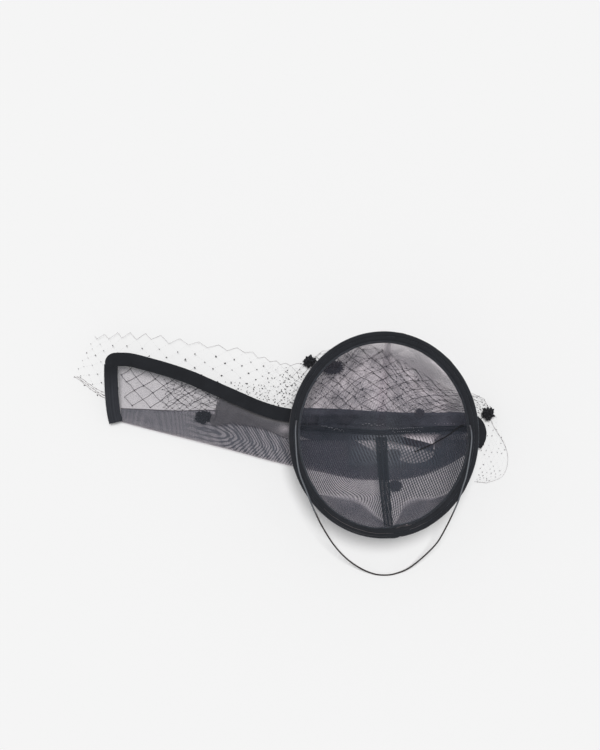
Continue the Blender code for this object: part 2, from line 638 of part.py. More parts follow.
def veil(mat):
    """A net of diamonds, cut through, with a zigzag edge all round."""
    bm = bmesh.new()
    wide, high = 2 * NET_COLUMNS, 2 * NET_ROWS
    knots = {}
    for i in range(wide + 1):
        for j in range(high + 1):
            if (i + j) % 2 == 0:
                knots[i, j] = bm.verts.new(veil_point(i / wide, j / high))
    for i in range(1, wide):
        for j in range(1, high):
            if (i + j) % 2 == 0:
                continue
            corners = [knots[i - 1, j], knots[i, j - 1], knots[i + 1, j], knots[i, j + 1]]
            middle = sum((c.co for c in corners), Vector()) / 4
            edges = [(corners[k].co - corners[k - 1].co).length for k in range(4)]
            area = (corners[0].co - corners[2].co).cross(corners[1].co - corners[3].co).length / 2
            inset = NET_BAR * sum(edges) / (2 * area)
            inner = [bm.verts.new(c.co.lerp(middle, inset)) for c in corners]
            for k in range(4):
                n = (k + 1) % 4
                bm.faces.new((corners[k], corners[n], inner[n], inner[k]))
    bmesh.ops.recalc_face_normals(bm, faces=bm.faces)
    mesh = bpy.data.meshes.new("veil_net")
    bm.to_mesh(mesh)
    bm.free()
    obj = finish("veil_net", mesh, mat)
    solid = obj.modifiers.new("Solidify", "SOLIDIFY")
    solid.thickness = VEIL_THICKNESS
    solid.offset = 0


def tuft_seat(row):
    """The height of what a tuft sits on."""
    seats = {
        "veil": VEIL_THICKNESS,
        "wing": CLOTH,
        "binding": BINDING_LEVEL * BOW_LOFT + BINDING_THICKNESS / 2,
        "floor": 2 * GAP,
    }
    return seats[row["rest"]]


def tufts(mat):
    """Balls of chenille: locks that stand out all round, fused to the head that holds them."""
    for row in TUFTS:
        bm = bmesh.new()
        bmesh.ops.create_icosphere(bm, subdivisions=2, radius=1)
        flat, tall = row["size"] * TUFT, row["squash"] * TUFT
        middle = Vector((
            reach(row["x"], BOW_LEFT, BOW_RIGHT),
            row["y"] * BOW_WIDTH,
            tuft_seat(row) + GAP + tall,
        ))
        for vert in bm.verts:
            lock = 1.0 if len(vert.link_edges) == 5 else 1 - TUFT_LOCK
            p = vert.co * lock
            vert.co = middle + Vector((p.x * flat, p.y * flat, p.z * tall))
        mesh = bpy.data.meshes.new(row["name"])
        bm.to_mesh(mesh)
        bm.free()
        finish(row["name"], mesh, mat)


def cord(name, points, count, diameter, mat):
    data = bpy.data.curves.new(name, "CURVE")
    data.dimensions = "3D"
    data.bevel_depth = diameter / 2
    data.bevel_resolution = 2
    data.use_fill_caps = True
    line = smooth_line(points, count)
    spline = data.splines.new("POLY")
    spline.points.add(len(line) - 1)
    for point, place in zip(spline.points, line):
        point.co = (*place, 1)
    obj = bpy.data.objects.new(name, data)
    data.materials.append(mat)
    bpy.context.scene.collection.objects.link(obj)


def elastics(mat):
    """The loop from side to side, and its loose tail, which clears the seams' tapes."""
    wide, long = RIM_WIDTH / 2, RIM_LENGTH / 2
    loop = [(row["x"] * wide, row["y"] * long, row["z"] * RIM_TOP) for row in ELASTIC_ROUTE]
    cord("elastic_loop", loop, ELASTIC_POINTS, ELASTIC, mat)
    inward = -(CLOTH / 2 + SEAT + TAPE + 2 * GAP + ELASTIC_TAIL / 2)
    tail = [on_crown(row["x"] * wide, row["y"] * long, inward) for row in TAIL_ROUTE]
    cord("elastic_tail", tail, TAIL_POINTS, ELASTIC_TAIL, mat)


def main():
    clear_scene()
    sheer = material("sheer", (0.035, 0.033, 0.038), 0.55)
    velvet = material("velvet", (0.014, 0.015, 0.018), 0.90)
    net = material("net", (0.020, 0.018, 0.022), 0.60)
    chenille = material("chenille", (0.018, 0.018, 0.021), 0.95)
    elastic = material("elastic", (0.030, 0.031, 0.034), 0.40)
    crown_panels(sheer)
    rim(velvet)
    seam_tapes(velvet)
    bow(sheer, velvet)
    waist(velvet)
    veil(net)
    tufts(chenille)
    elastics(elastic)


main()
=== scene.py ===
"""Bow headpiece: a sheer cap that lies with its opening up, on a velvet-bound bow and a net veil.

Places are in metres in the part's own frame: +Z up out of the opening, +Y to the cap's front.
"""

import json
import math
import random

import bmesh
import bpy
from bpy.props import FloatProperty, FloatVectorProperty, IntProperty, PointerProperty
from mathutils import Matrix, Vector


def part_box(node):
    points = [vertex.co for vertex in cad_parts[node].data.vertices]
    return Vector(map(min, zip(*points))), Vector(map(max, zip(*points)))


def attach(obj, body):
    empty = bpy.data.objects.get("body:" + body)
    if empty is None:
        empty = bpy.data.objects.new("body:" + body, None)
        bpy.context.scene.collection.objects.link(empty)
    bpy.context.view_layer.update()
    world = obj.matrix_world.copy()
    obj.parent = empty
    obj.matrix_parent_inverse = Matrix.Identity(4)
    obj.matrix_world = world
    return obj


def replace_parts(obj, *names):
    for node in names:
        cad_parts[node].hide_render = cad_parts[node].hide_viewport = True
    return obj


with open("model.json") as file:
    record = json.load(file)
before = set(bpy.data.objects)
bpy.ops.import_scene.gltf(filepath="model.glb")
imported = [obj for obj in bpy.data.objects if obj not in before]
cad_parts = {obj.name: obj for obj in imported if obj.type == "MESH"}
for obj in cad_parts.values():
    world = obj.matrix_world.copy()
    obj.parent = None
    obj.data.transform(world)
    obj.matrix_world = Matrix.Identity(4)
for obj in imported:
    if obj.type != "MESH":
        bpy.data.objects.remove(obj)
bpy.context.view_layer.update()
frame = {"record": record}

bl_info = {
    "name": "Bow headpiece",
    "version": (1, 0, 0),
    "blender": (4, 5, 0),
    "location": "View3D > Sidebar > Headpiece",
    "description": "Builds a sheer cap with a velvet bow, a net veil with tufts and an elastic",
    "category": "Object",
}

SLOT_COLOURS = {row["slot"]: row["base_color"] for row in frame["record"]["materials"]}


def table(columns, *rows):
    """Rows of values under the columns' names."""
    return tuple(dict(zip(columns.split(), row)) for row in rows)


# Sizes of the solids
CLOTH = 0.0010
GAP = 0.0003
SEAT = 0.0006
RIM_WIDTH = 0.1660
RIM_LENGTH = 0.1807
CROWN_DEPTH = 0.060
CROWN_TURN = math.radians(72)
DENT_DEPTH = 0.0022
DENT_SPAN = 0.17
ROLL = 0.0048
BAND_HEIGHT = 0.0062
BAND_THICKNESS = 0.0012
EDGE_DROP = 0.0012
TAPE = 0.0009
SEAM_WIDTH = 0.0046
BACK_TAPE_WIDTH = 0.0106
FRONT_TAPE_WIDTH = 0.0086
TAPE_TAPER = 0.70
BOW_LEFT = 0.2365
BOW_RIGHT = 0.0850
BOW_WIDTH = 0.0620
BOW_LOFT = 0.0270
BOW_HEIGHT = 0.0140
FOLD_RADIUS = 0.0045
WING_SAG = 0.10
BINDING_WIDTH = 0.0123
BINDING_THICKNESS = 0.0030
BINDING_LEVEL = 0.490
OVAL = 0.6
WAIST_LEFT = 0.0795
WAIST_RIGHT = 0.0800
WAIST_WIDTH = 0.0256
WAIST_HEIGHT = 0.0104
WAIST_CORNER = 0.25
WAIST_FOOT = 0.10
STRAP_WIDTH = 0.0064
STRAP_THICKNESS = 0.0015
VEIL_LEFT = 0.2790
VEIL_RIGHT = 0.1170
VEIL_FRONT = 0.0900
VEIL_THICKNESS = 0.0010
VEIL_RIPPLE = 0.0060
VEIL_WAVE = 0.0700
RIPPLE_LEFT = (0.34, 0.46)
RIPPLE_FRONT = (0.30, 0.85)
ELASTIC = 0.0014
ELASTIC_TAIL = 0.0009

APEX = BOW_HEIGHT + GAP + CLOTH / 2
RIM_TOP = BOW_HEIGHT + GAP + CLOTH + CROWN_DEPTH
CROWN_RISE = RIM_TOP - EDGE_DROP - APEX
CROWN_A = RIM_WIDTH / 2 - ROLL - GAP - CLOTH / 2
CROWN_B = RIM_LENGTH / 2 - ROLL - GAP - CLOTH / 2
CROWN_RADIUS = (CROWN_A + CROWN_B) / 2 / math.sin(CROWN_TURN)
ROLL_MIDDLE = Vector((RIM_WIDTH / 2 - ROLL / 2, RIM_LENGTH / 2 - ROLL / 2, RIM_TOP - ROLL / 2))

# Sizes of what only shows here. Threads are given by half their thickness.
MERGE = 1e-6
HEM_OUTWARD = 0.0014
RIM_INSIDE = -0.0030
RIM_JOINT = 277.0
STITCH = 0.00016
FINEST_THREAD = 0.00001
BINDING_CORNER = 0.0105
WAIST_BACK = 0.0032
BRAID_STEP = 0.0011
TAPE_STITCH = 0.0019
# How far the edges of a thread and of a tape's parts are blurred, as shares of the weave and the tape.
THREAD_BLUR = 0.10
TAPE_BLUR = 0.04
# What gets through the gaps of the sheer and of the tapes.
SHEER_LIGHT = (1.0, 0.975, 0.99)
TAPE_LIGHT = (0.98, 0.98, 1.0)
# Points across the bow's folded sheer: on top, round the fold and underneath, and where that starts.
WING_TOP = 40
WING_FOLD = 10
WING_UNDER = 26
UNDERSIDE = (WING_TOP + 4, WING_TOP + WING_FOLD)
WING_STRIPE = 0.00262
# Where the crown lies over the bow's opening, in metres: its middle and its ends, from its front to its
# back, its darker back, its lighter corner, the spacing of its spots and the light between them.
OPENING_MIDDLE = 0.012
OPENING_ENDS = (0.039, 0.043)
OPENING_ACROSS = ((0.000, 0.003), (0.027, 0.031))
OPENING_DARKER = (0.011, 0.016)
CORNER_LEFT = (0.017, 0.026)
CORNER_BACK = (0.010, 0.015)
OPENING_SPOT = 0.0027
BETWEEN_SPOTS = 0.14
# The crown's turns, 0 in its middle and 1 at the rim, where it is creased, where its spots change and
# its light patches start, and the blur of the hem's edge.
CREASED = ((0.1, 0.3), (0.8, 0.95))
SPOTS_CHANGE = (0.15, 0.35)
PATCHES_START = (0.15, 0.3)
HEM_BLUR = 0.03
# The back's spots: where they swirl, and where they fan out as they near the back seam.
SWIRL_MIDDLE = (0.018, -0.078)
SWIRL_SIZE = (0.012, 0.014)
SWIRL_SHIFT = 0.0064
FAN_SHARE = 0.95
FAN_START = -0.075
FAN_RIGHT = (-0.056, -0.006)
FAN_BACK = (0.040, 0.060)
# The rim's joint: the roll's swelling and the pinch beside it, as shares of its size and in radians,
# and the band's lap, its narrower stretch and the step after it, by bearings in degrees.
SWELLING = (0.16, 0.045)
PINCH = (0.26, 0.020)
PINCH_AWAY = 0.05
LAPPED = ((262, 275), (279.5, 281))
LAP_THICKNESS = 0.0007
NARROWED = ((205, 230), (274, 278.5))
NARROWING = 0.024
STEPPED = ((278, 281), (283, 290))
STEP_WIDTH = 0.010
# The wing's stripes: where they turn, by how much, and the middle that they bend round; and where
# they start, show fully and end along the bow.
STRIPE_TURN = -0.134
STRIPE_TURN_SPAN = 0.007
STRIPE_MIDDLE = 0.0125
STRIPE_ROUND = 0.0012
STRIPES_FAINT = (-0.185, -0.158)
STRIPES_FULL = (-0.158, -0.125)
STRIPES_END = (-0.080, -0.072)
# Along the bow, where its lower sheer is denser: left, and under the crown; and thinner between.
DENSE_LEFT = (-0.185, -0.145)
THINNER = (-0.125, -0.105)
UNDER_CROWN = (-0.080, -0.070)
# The thin place in the loose layers.
HOLE_MIDDLE = (-0.0865, 0.0035)
HOLE_SIZE = (0.006, 0.004)
# Along the waist, where its back stands out further, and less far.
WAIST_WIDER = ((-0.95, -0.75), (0.05, 0.18))
WAIST_NARROWER = ((0.18, 0.30), (0.62, 0.75))
# The veil's edge: how the zigzag flattens along it, and where its outline bends in at the right.
ZIGZAG_FLATTER = (0.12, 0.40)
VEIL_BORDER = 0.985
VEIL_FLOAT = 0.0005
INDENT_Y = 0.0075
INDENT_SIZE = 0.016
INDENT_DEPTH = 0.0062
INDENT_FROM = (0.060, 0.090)
EDGE_THREAD = 0.00009
# Stitches over the elastic's ends: half their thickness, spacing, and reach over the cord and above it.
ELASTIC_STITCH = 0.00014
ELASTIC_STITCH_STEP = 0.0007
ELASTIC_STITCH_WIDE = 0.0010
ELASTIC_STITCH_HIGH = 0.00088
# Stage: light by strength and by degrees, the rest in metres.
FLOOR_SIDE = 6.0
FLOOR_DROP = 0.0004
SKY_STRENGTH = 0.28
KEY_STRENGTH = 2.31
KEY_WIDTH = 16
KEY_TILT = (-9, 1, 0)
EYE = (-0.0731, 0.0522, RIM_TOP + 1.5406)

SEAMS = {"right": 4.0, "front": 86.5, "left": 176.0, "back": 273.5}
CROWN_DENTS = table(
    "bearing reach turn depth",
    (244, 24, 0.66, 1.0),
    (292, 22, 0.66, 0.9),
    (128, 30, 0.62, 0.5),
)
BOW_SECTIONS = table(
    "at edge fold end rise round lift",
    (-1.000, 0.970, 0.155, 0.350, 0.94, 0.9, 0.0),
    (-0.900, 0.905, 0.055, 0.335, 0.95, 1.0, 0.0),
    (-0.780, 0.770, -0.060, 0.315, 0.90, 1.1, 0.0),
    (-0.660, 0.582, -0.175, 0.325, 0.84, 1.2, 0.0),
    (-0.550, 0.378, -0.285, 0.280, 0.74, 1.2, 0.0),
    (-0.450, 0.203, -0.390, 0.080, 0.62, 1.2, 0.0),
    (-0.345, 0.125, -0.490, -0.110, 0.50, 1.2, 0.0),
    (-0.250, 0.102, -0.565, -0.110, 0.44, 1.1, 0.0),
    (-0.110, 0.100, -0.680, -0.110, 0.44, 1.0, 0.0),
    (0.000, 0.095, -0.700, -0.110, 0.44, 1.0, 0.0),
    (0.220, 0.080, -0.695, -0.110, 0.44, 1.0, 0.0),
    (0.480, 0.080, -0.620, -0.110, 0.44, 1.0, 0.0),
    (0.740, 0.080, -0.470, -0.110, 0.46, 0.9, 0.3),
    (0.930, 0.040, -0.310, -0.110, 0.42, 0.8, 1.6),
)
BINDING_LINE = table(
    "x y z",
    (-1.0150, 0.150, 0.37),
    (-1.0215, 0.260, 0.44),
    (-1.0260, 0.440, 0.58),
    (-1.0275, 0.640, 0.76),
    (-1.0275, 0.860, 0.95),
    (-1.0160, 1.010, 1.01),
    (-0.985, 1.074, 1.02),
    (-0.947, 1.056, 1.01),
    (-0.886, 0.997, 1.00),
    (-0.805, 0.909, 0.97),
    (-0.723, 0.801, 0.93),
    (-0.639, 0.661, 0.88),
    (-0.556, 0.521, 0.81),
    (-0.479, 0.392, 0.72),
    (-0.410, 0.303, 0.62),
    (-0.343, 0.250, 0.53),
    (-0.280, 0.236, BINDING_LEVEL),
    (-0.150, 0.232, BINDING_LEVEL),
    (0.000, 0.212, BINDING_LEVEL),
    (0.250, 0.196, BINDING_LEVEL),
    (0.590, 0.196, BINDING_LEVEL),
    (0.880, 0.196, 0.505),
    (1.000, 0.150, 0.500),
    (1.050, 0.040, 0.460),
    (1.050, -0.080, 0.400),
    (1.010, -0.190, 0.340),
)
# Where the bound edge starts at the wing's corner, over the top of the binding of its left end.
BOUND_EDGE_START = table(
    "x y z",
    (-1.0530, 1.035, 0.98),
    (-1.0200, 1.062, 1.01),
    (-0.985, 1.068, 1.02),
)
POST_TOP = table(
    "x y z",
    (-1.0275, 0.830, 0.92),
    (-1.0265, 0.995, 0.97),
)
WAIST_SECTIONS = table(
    "at front back height",
    (-1.00, 0.83, -0.05, 0.74),
    (-0.93, 0.86, -0.12, 0.88),
    (-0.72, 0.86, -0.14, 1.00),
    (-0.38, 0.82, -0.14, 1.00),
    (0.00, 0.73, -0.14, 1.00),
    (0.28, 0.67, -0.14, 1.00),
    (0.62, 0.70, -0.12, 1.00),
    (0.90, 0.72, -0.06, 0.90),
    (1.00, 0.66, 0.00, 0.76),
)
LINING = table(
    "x front back front_z back_z",
    (-0.656, 0.180, 0.150, 0.34, 0.34),
    (-0.648, 0.265, 0.110, 0.35, 0.33),
    (-0.636, 0.290, 0.095, 0.36, 0.32),
    (-0.630, 0.420, 0.100, 0.36, 0.32),
    (-0.622, 0.500, 0.095, 0.36, 0.31),
    (-0.600, 0.530, 0.100, 0.36, 0.31),
    (-0.570, 0.500, 0.125, 0.36, 0.31),
    (-0.540, 0.480, 0.105, 0.36, 0.30),
    (-0.500, 0.420, 0.085, 0.36, 0.29),
    (-0.440, 0.360, 0.030, 0.32, 0.27),
    (-0.385, 0.330, -0.060, 0.28, 0.25),
    (-0.3376, 0.320, -0.120, 0.24, 0.24),
)
RIGHT_LAYER = table(
    "x front back front_z back_z",
    (0.575, -0.160, -0.400, 0.440, 0.420),
    (0.600, -0.060, -0.500, 0.445, 0.410),
    (0.720, -0.015, -0.460, 0.455, 0.415),
    (0.850, -0.010, -0.370, 0.458, 0.425),
    (0.920, -0.010, -0.300, 0.458, 0.425),
)
STRAP_LINE = table(
    "x y z",
    (0.060, -0.052, 0.487),
    (0.240, -0.112, 0.478),
    (0.420, -0.172, 0.466),
    (0.560, -0.224, 0.460),
)
VEIL_EDGES = table(
    "inner_x inner_y outer_x outer_y",
    (-1.000, 0.560, -0.932, 0.975),
    (-0.905, 0.345, -0.842, 1.010),
    (-0.770, 0.255, -0.735, 0.990),
    (-0.630, 0.265, -0.592, 0.915),
    (-0.484, 0.275, -0.448, 0.845),
    (-0.360, 0.280, -0.352, 0.735),
    (-0.275, 0.251, -0.270, 0.700),
    (-0.160, 0.243, -0.170, 0.845),
    (-0.040, 0.222, -0.050, 0.890),
    (0.210, 0.198, 0.200, 0.710),
    (0.470, 0.201, 0.540, 0.445),
    (0.705, 0.206, 0.800, 0.350),
    (0.745, 0.060, 0.940, 0.060),
    (0.765, -0.180, 1.000, -0.240),
    (0.755, -0.400, 0.960, -0.440),
    (0.735, -0.500, 0.830, -0.515),
)
# The tufts: how far each is spread as it is pressed flat, its look, and whether it lies in the open.
# Those under cloth have a softer look.
TUFTS = table(
    "name spread look free",
    ("tuft_front_left", 1.0, "chenille", True),
    ("tuft_front_crown", 1.85, "soft_chenille", False),
    ("tuft_right", 1.0, "chenille", True),
    ("tuft_under_wing", 1.4, "chenille", False),
    ("tuft_on_waist", 0.85, "soft_chenille", False),
    ("tuft_in_fold", 1.15, "soft_chenille", False),
    ("tuft_back", 1.2, "soft_chenille", False),
)
# A tuft's fat locks and thin hairs: share of their number, length, and thickness at the head.
OPEN_LOCKS = ((0.7, 1.42, 0.26), (1.0, 1.00, 0.08))
COVERED_LOCKS = ((1.0, 1.12, 0.22), (1.0, 1.28, 0.06))
# Along a lock, as shares of its length, its bend and its thickness.
LOCK = ((0.45, 0.3, 1.1), (0.8, 0.8, 0.95), (1.0, 1.0, 0.35))
ELASTIC_ROUTE = table(
    "x y z",
    (-0.9181, 0.1417, 0.9980),
    (-0.9265, 0.0664, 0.9987),
    (-0.9265, -0.0221, 0.9987),
    (-0.9133, -0.2214, 1.0053),
    (-0.8819, -0.3763, 1.0146),
    (-0.8181, -0.5291, 1.0159),
    (-0.7663, -0.6519, 1.0080),
    (-0.7133, -0.7659, 0.8964),
    (-0.6361, -0.9153, 0.7171),
    (-0.5157, -1.1002, 0.4914),
    (-0.3819, -1.2463, 0.2922),
    (-0.2253, -1.3603, 0.1262),
    (-0.0759, -1.4256, 0.0345),
    (0.0470, -1.4422, 0.0113),
    (0.1651, -1.4256, 0.0345),
    (0.3108, -1.3603, 0.1262),
    (0.4651, -1.2263, 0.2922),
    (0.5916, -1.0769, 0.4914),
    (0.6711, -0.9098, 0.7171),
    (0.7301, -0.7615, 0.8964),
    (0.7783, -0.6342, 1.0080),
    (0.8229, -0.5025, 1.0159),
    (0.8602, -0.3940, 1.0146),
    (0.8940, -0.2302, 1.0080),
    (0.9181, -0.0631, 0.9987),
    (0.9157, 0.0310, 0.9987),
    (0.8988, 0.0952, 0.9980),
)
TAIL_ROUTE = table(
    "x y",
    (0.848, 0.095),
    (0.824, 0.085),
    (0.795, 0.062),
    (0.712, -0.006),
    (0.646, -0.048),
    (0.575, -0.090),
    (0.512, -0.121),
    (0.451, -0.147),
    (0.361, -0.187),
)

# The crown's two layers of sheer. outward: place in the crown's wall; turns: the weave's direction in
# each panel, in degrees.
CROWN_LAYERS = table(
    "name look outward turns",
    ("crown_inner_sheer", "inner_sheer", -0.0003, (3, 40, 12, 5)),
    ("crown_outer_sheer", "sheer", 0.0005, (16, 52, 58, 34)),
)
# Where the two layers' weaves fall in and out of step, light spots show. For each panel: the spots'
# spacing in columns and rows, the bearings of both in degrees, how strong they are in the crown's
# middle and further out, and how much light patches show through it. Rows further apart than STRIPES
# make the spots into stripes.
STRIPES = 0.005
CROWN_SPOTS = table(
    "wide tall column row middle out glow",
    (0.0024, 0.0024, 30, -20, 0.25, 0.06, 1.0),
    (0.0022, 0.0025, -25, 30, 0.25, 0.08, 1.0),
    (0.0020, 0.2500, 24, -24, 0.12, 0.68, 0.0),
    (0.0022, 0.0022, 21, 27, 0.30, 0.95, 0.0),
)
# The leaf-shaped opening between the bow's two halves, seen from above, in metres.
BOW_OPENING = (
    (-0.0261, -0.0057),
    (-0.0134, -0.0052),
    (-0.0053, -0.0057),
    (0.0101, -0.0070),
    (0.0210, -0.0048),
    (0.0282, -0.0030),
    (0.0454, -0.0025),
    (0.0490, -0.0066),
    (0.0499, -0.0156),
    (0.0481, -0.0220),
    (0.0418, -0.0265),
    (0.0318, -0.0283),
    (0.0237, -0.0274),
    (0.0182, -0.0247),
    (0.0191, -0.0183),
    (0.0137, -0.0156),
    (0.0065, -0.0161),
    (-0.0008, -0.0183),
    (-0.0080, -0.0156),
    (-0.0170, -0.0107),
)
# The upper edge of the crown's seam allowance along the back of the rim, by bearing in degrees.
HEM_EDGE = table(
    "bearing turn",
    (218, 0.930),
    (225, 0.790),
    (236, 0.690),
    (247, 0.645),
    (258, 0.670),
    (268, 0.770),
    (276, 0.860),
    (281, 0.785),
    (289, 0.670),
    (301, 0.675),
    (312, 0.780),
    (322, 0.885),
    (328, 0.940),
)
# Rows of light dashes beside the cross seam, seen from above: ends in metres, count, length, thickness.
SEAM_DASHES = table(
    "from to count long thick",
    ((-0.0534, 0.0066), (-0.0326, 0.0018), 15, 0.0004, 0.00032),
    ((-0.0162, 0.0079), (0.0037, 0.0068), 8, 0.0014, 0.00022),
    ((0.0060, 0.0036), (0.0380, 0.0052), 18, 0.0004, 0.00038),
    ((0.0110, 0.0012), (0.0370, 0.0020), 14, 0.0004, 0.00036),
    ((0.0480, 0.0085), (0.0660, 0.0100), 7, 0.0004, 0.00026),
)
# The veil along its length, from its left end to its right one. thread, knot: half their thickness;
# gather: how much of it is bunched up behind the crown.
VEIL_THREADS = table(
    "thread knot gather",
    (0.00001, 0.00050, 0.0),
    (0.00001, 0.00070, 0.0),
    (0.00001, 0.00086, 0.0),
    (0.00001, 0.00088, 0.0),
    (0.00001, 0.00078, 0.0),
    (0.00001, 0.00062, 0.0),
    (0.00008, 0.00054, 0.2),
    (0.00022, 0.00052, 1.0),
    (0.00022, 0.00052, 1.0),
    (0.00021, 0.00052, 0.9),
    (0.00016, 0.00044, 0.5),
    (0.00005, 0.00040, 0.1),
    (0.00001, 0.00036, 0.0),
    (0.00001, 0.00034, 0.0),
    (0.00001, 0.00034, 0.0),
    (0.00001, 0.00034, 0.0),
)
# Under the bow's wing the threads are doubled.
UNDER_WING_THREAD = 0.00021
UNDER_WING_KNOT = 0.00080
# The nets of the veil: stretch of it along and across, diamonds along and across, how loose they lie,
# how high over the veil's film, their threads' and knots' sizes as shares of the table above, and how
# long the knots are.
NETS = table(
    "from to low high columns rows loose lift thread knot long",
    (0.0, 0.74, 0.0, 1.0, 26, 5, 0.12, 0.0005, 1.0, 1.0, 1.1),
    (0.160, 0.33, -0.06, 0.40, 15, 6, 0.60, 0.0010, 0.58, 0.66, 1.4),
    (0.31, 0.42, 0.0, 0.90, 14, 10, 0.8, 0.0012, 0.1, 0.82, 2.0),
    (0.41, 0.78, 0.0, 0.97, 20, 7, 0.55, 0.0016, 0.50, 1.15, 1.5),
    (0.755, 1.0, 0.10, 0.97, 9, 5, 0.20, 0.0004, 0.6, 1.0, 2.2),
)


# From where the right end of the veil starts, and how loose a net is before its outer knots thin out.
RIGHT_END = 0.7
LOOSEST = 0.7
# Painted highlight lines round the rim's roll, drawn as fine pale threads: from and to a bearing in
# degrees, places from the roll's middle line as shares of its size, and thickness.
PAINTED_HIGHLIGHT_LINES = table(
    "start end out up thick",
    (228, 276, -0.46, 0.40, 0.00026),
    (281, 300, -0.46, 0.42, 0.00022),
    (236, 272, 0.10, 0.50, 0.00013),
    (278, 350, 0.44, 0.25, 0.00016),
    (20, 100, 0.45, 0.24, 0.00013),
    (110, 215, 0.45, 0.24, 0.00013),
)
# The step where the band is lapped over itself, drawn as a painted highlight line, and short pale strands,
# seen from above.
JOINT_STEP = (
    (0.0085, -0.0822), (0.0125, -0.0806), (0.0160, -0.0794), (0.0200, -0.0792), (0.0240, -0.0780),
)
PALE_STRANDS = (
    ((-0.0420, -0.0722), (-0.0385, -0.0745), (-0.0345, -0.0752)),
    ((-0.0408, -0.0758), (-0.0385, -0.0745), (-0.0368, -0.0728)),
    ((-0.0392, -0.0770), (-0.0380, -0.0748), (-0.0350, -0.0742)),
    ((0.0192, -0.0786), (0.0200, -0.0781), (0.0207, -0.0785)),
)


class CapSizes(bpy.types.PropertyGroup):
    weave: FloatProperty(
        name="Weave", description="Distance from one thread of the sheer to the next",
        default=0.00080, precision=5, unit="LENGTH",
    )
    inner_share: FloatProperty(
        name="Inner thread share", description="How much of that distance the inner layer's thread covers",
        default=0.08, min=0.02, max=0.9, subtype="FACTOR",
    )
    outer_share: FloatProperty(
        name="Outer thread share", description="The same for the outer layer",
        default=0.15, min=0.02, max=0.9, subtype="FACTOR",
    )
    wrinkle: FloatProperty(
        name="Wrinkle", description="Height of the crown's small creases",
        default=0.0004, precision=5, unit="LENGTH",
    )
    stitches: IntProperty(name="Stitches", description="Stitches round the rim", default=150, min=0)


class BowSizes(bpy.types.PropertyGroup):
    upper_share: FloatProperty(
        name="Upper thread share", description="How much of the weave the upper sheer's thread covers",
        default=0.13, min=0.02, max=0.9, subtype="FACTOR",
    )
    under_share: FloatProperty(
        name="Under thread share", description="The same for the doubled sheer underneath",
        default=0.32, min=0.02, max=0.9, subtype="FACTOR",
    )
    pleats: IntProperty(name="Pleats", description="Pleats on top of the waist", default=5, min=1)
    pleat_depth: FloatProperty(
        name="Pleat depth", description="How deep the waist's pleats are",
        default=0.0014, precision=4, unit="LENGTH",
    )
    hem: FloatProperty(
        name="Hem", description="Thickness of the rolled hem on the sheer's loose edge",
        default=0.0006, precision=4, unit="LENGTH",
    )


class VeilSizes(bpy.types.PropertyGroup):
    edge_thread: FloatProperty(
        name="Edge thread", description="Half the thickness of the zigzag edge's thread",
        default=0.00010, precision=5, unit="LENGTH",
    )


class TuftSizes(bpy.types.PropertyGroup):
    locks: IntProperty(name="Locks", description="Fat locks on a tuft", default=42, min=8)
    hairs: IntProperty(name="Hairs", description="Thin hairs on a tuft", default=160, min=0)


class Colours(bpy.types.PropertyGroup):
    sheer: FloatVectorProperty(
        name="Sheer", description="Colour of the sheer's threads",
        default=(0.055, 0.066, 0.086), subtype="COLOR", min=0, max=1,
    )
    velvet: FloatVectorProperty(
        name="Velvet", description="Colour of the velvet's pile",
        default=SLOT_COLOURS["velvet"], subtype="COLOR", min=0, max=1,
    )
    net: FloatVectorProperty(
        name="Net", description="Colour of the veil's threads",
        default=SLOT_COLOURS["net"], subtype="COLOR", min=0, max=1,
    )
    chenille: FloatVectorProperty(
        name="Chenille", description="Colour of the tufts",
        default=SLOT_COLOURS["chenille"], subtype="COLOR", min=0, max=1,
    )
    # The elastic's lighter colour, with a painted highlight in it; it shows only where the cord lies high
    # on the rim.
    elastic: FloatVectorProperty(
        name="Elastic", description="Colour of the elastic",
        default=(0.088, 0.096, 0.110), subtype="COLOR", min=0, max=1,
    )
    floor: FloatVectorProperty(
        name="Floor", description="Colour of the floor",
        default=(0.908, 0.908, 0.908), subtype="COLOR", min=0, max=1,
    )


# Shaders


def _math(operation, swapped=False):
    def method(self, other):
        pair = (other, self) if swapped else (self, other)
        return self.finish.node("Math", {"operation": operation}, *pair)

    return method


class Value:
    """One output of a shader node. Arithmetic on it adds Math nodes."""

    def __init__(self, finish, socket):
        self.finish = finish
        self.socket = socket

    def __getitem__(self, name):
        return Value(self.finish, self.socket.node.outputs[name])

    def math(self, operation, *others):
        return self.finish.node("Math", {"operation": operation}, self, *others)

    def clamp(self):
        return self.finish.node("Clamp", {}, self)

    def ramp(self, start, end):
        """0 at start and 1 at end, straight between them."""
        return ((self - start) / (end - start)).clamp()

    def wave(self, depth=0.5):
        """Falls from 1 by twice the depth and comes back, once in each turn."""
        return (self * (2 * math.pi)).math("COSINE") * depth + (1 - depth)

    def fold(self):
        """0.5 at each whole number, 0 half way between two."""
        return (self.math("FRACT") - 0.5).math("ABSOLUTE")

    __add__ = __radd__ = _math("ADD")
    __mul__ = __rmul__ = _math("MULTIPLY")
    __sub__ = _math("SUBTRACT")
    __rsub__ = _math("SUBTRACT", True)
    __truediv__ = _math("DIVIDE")
    __rtruediv__ = _math("DIVIDE", True)


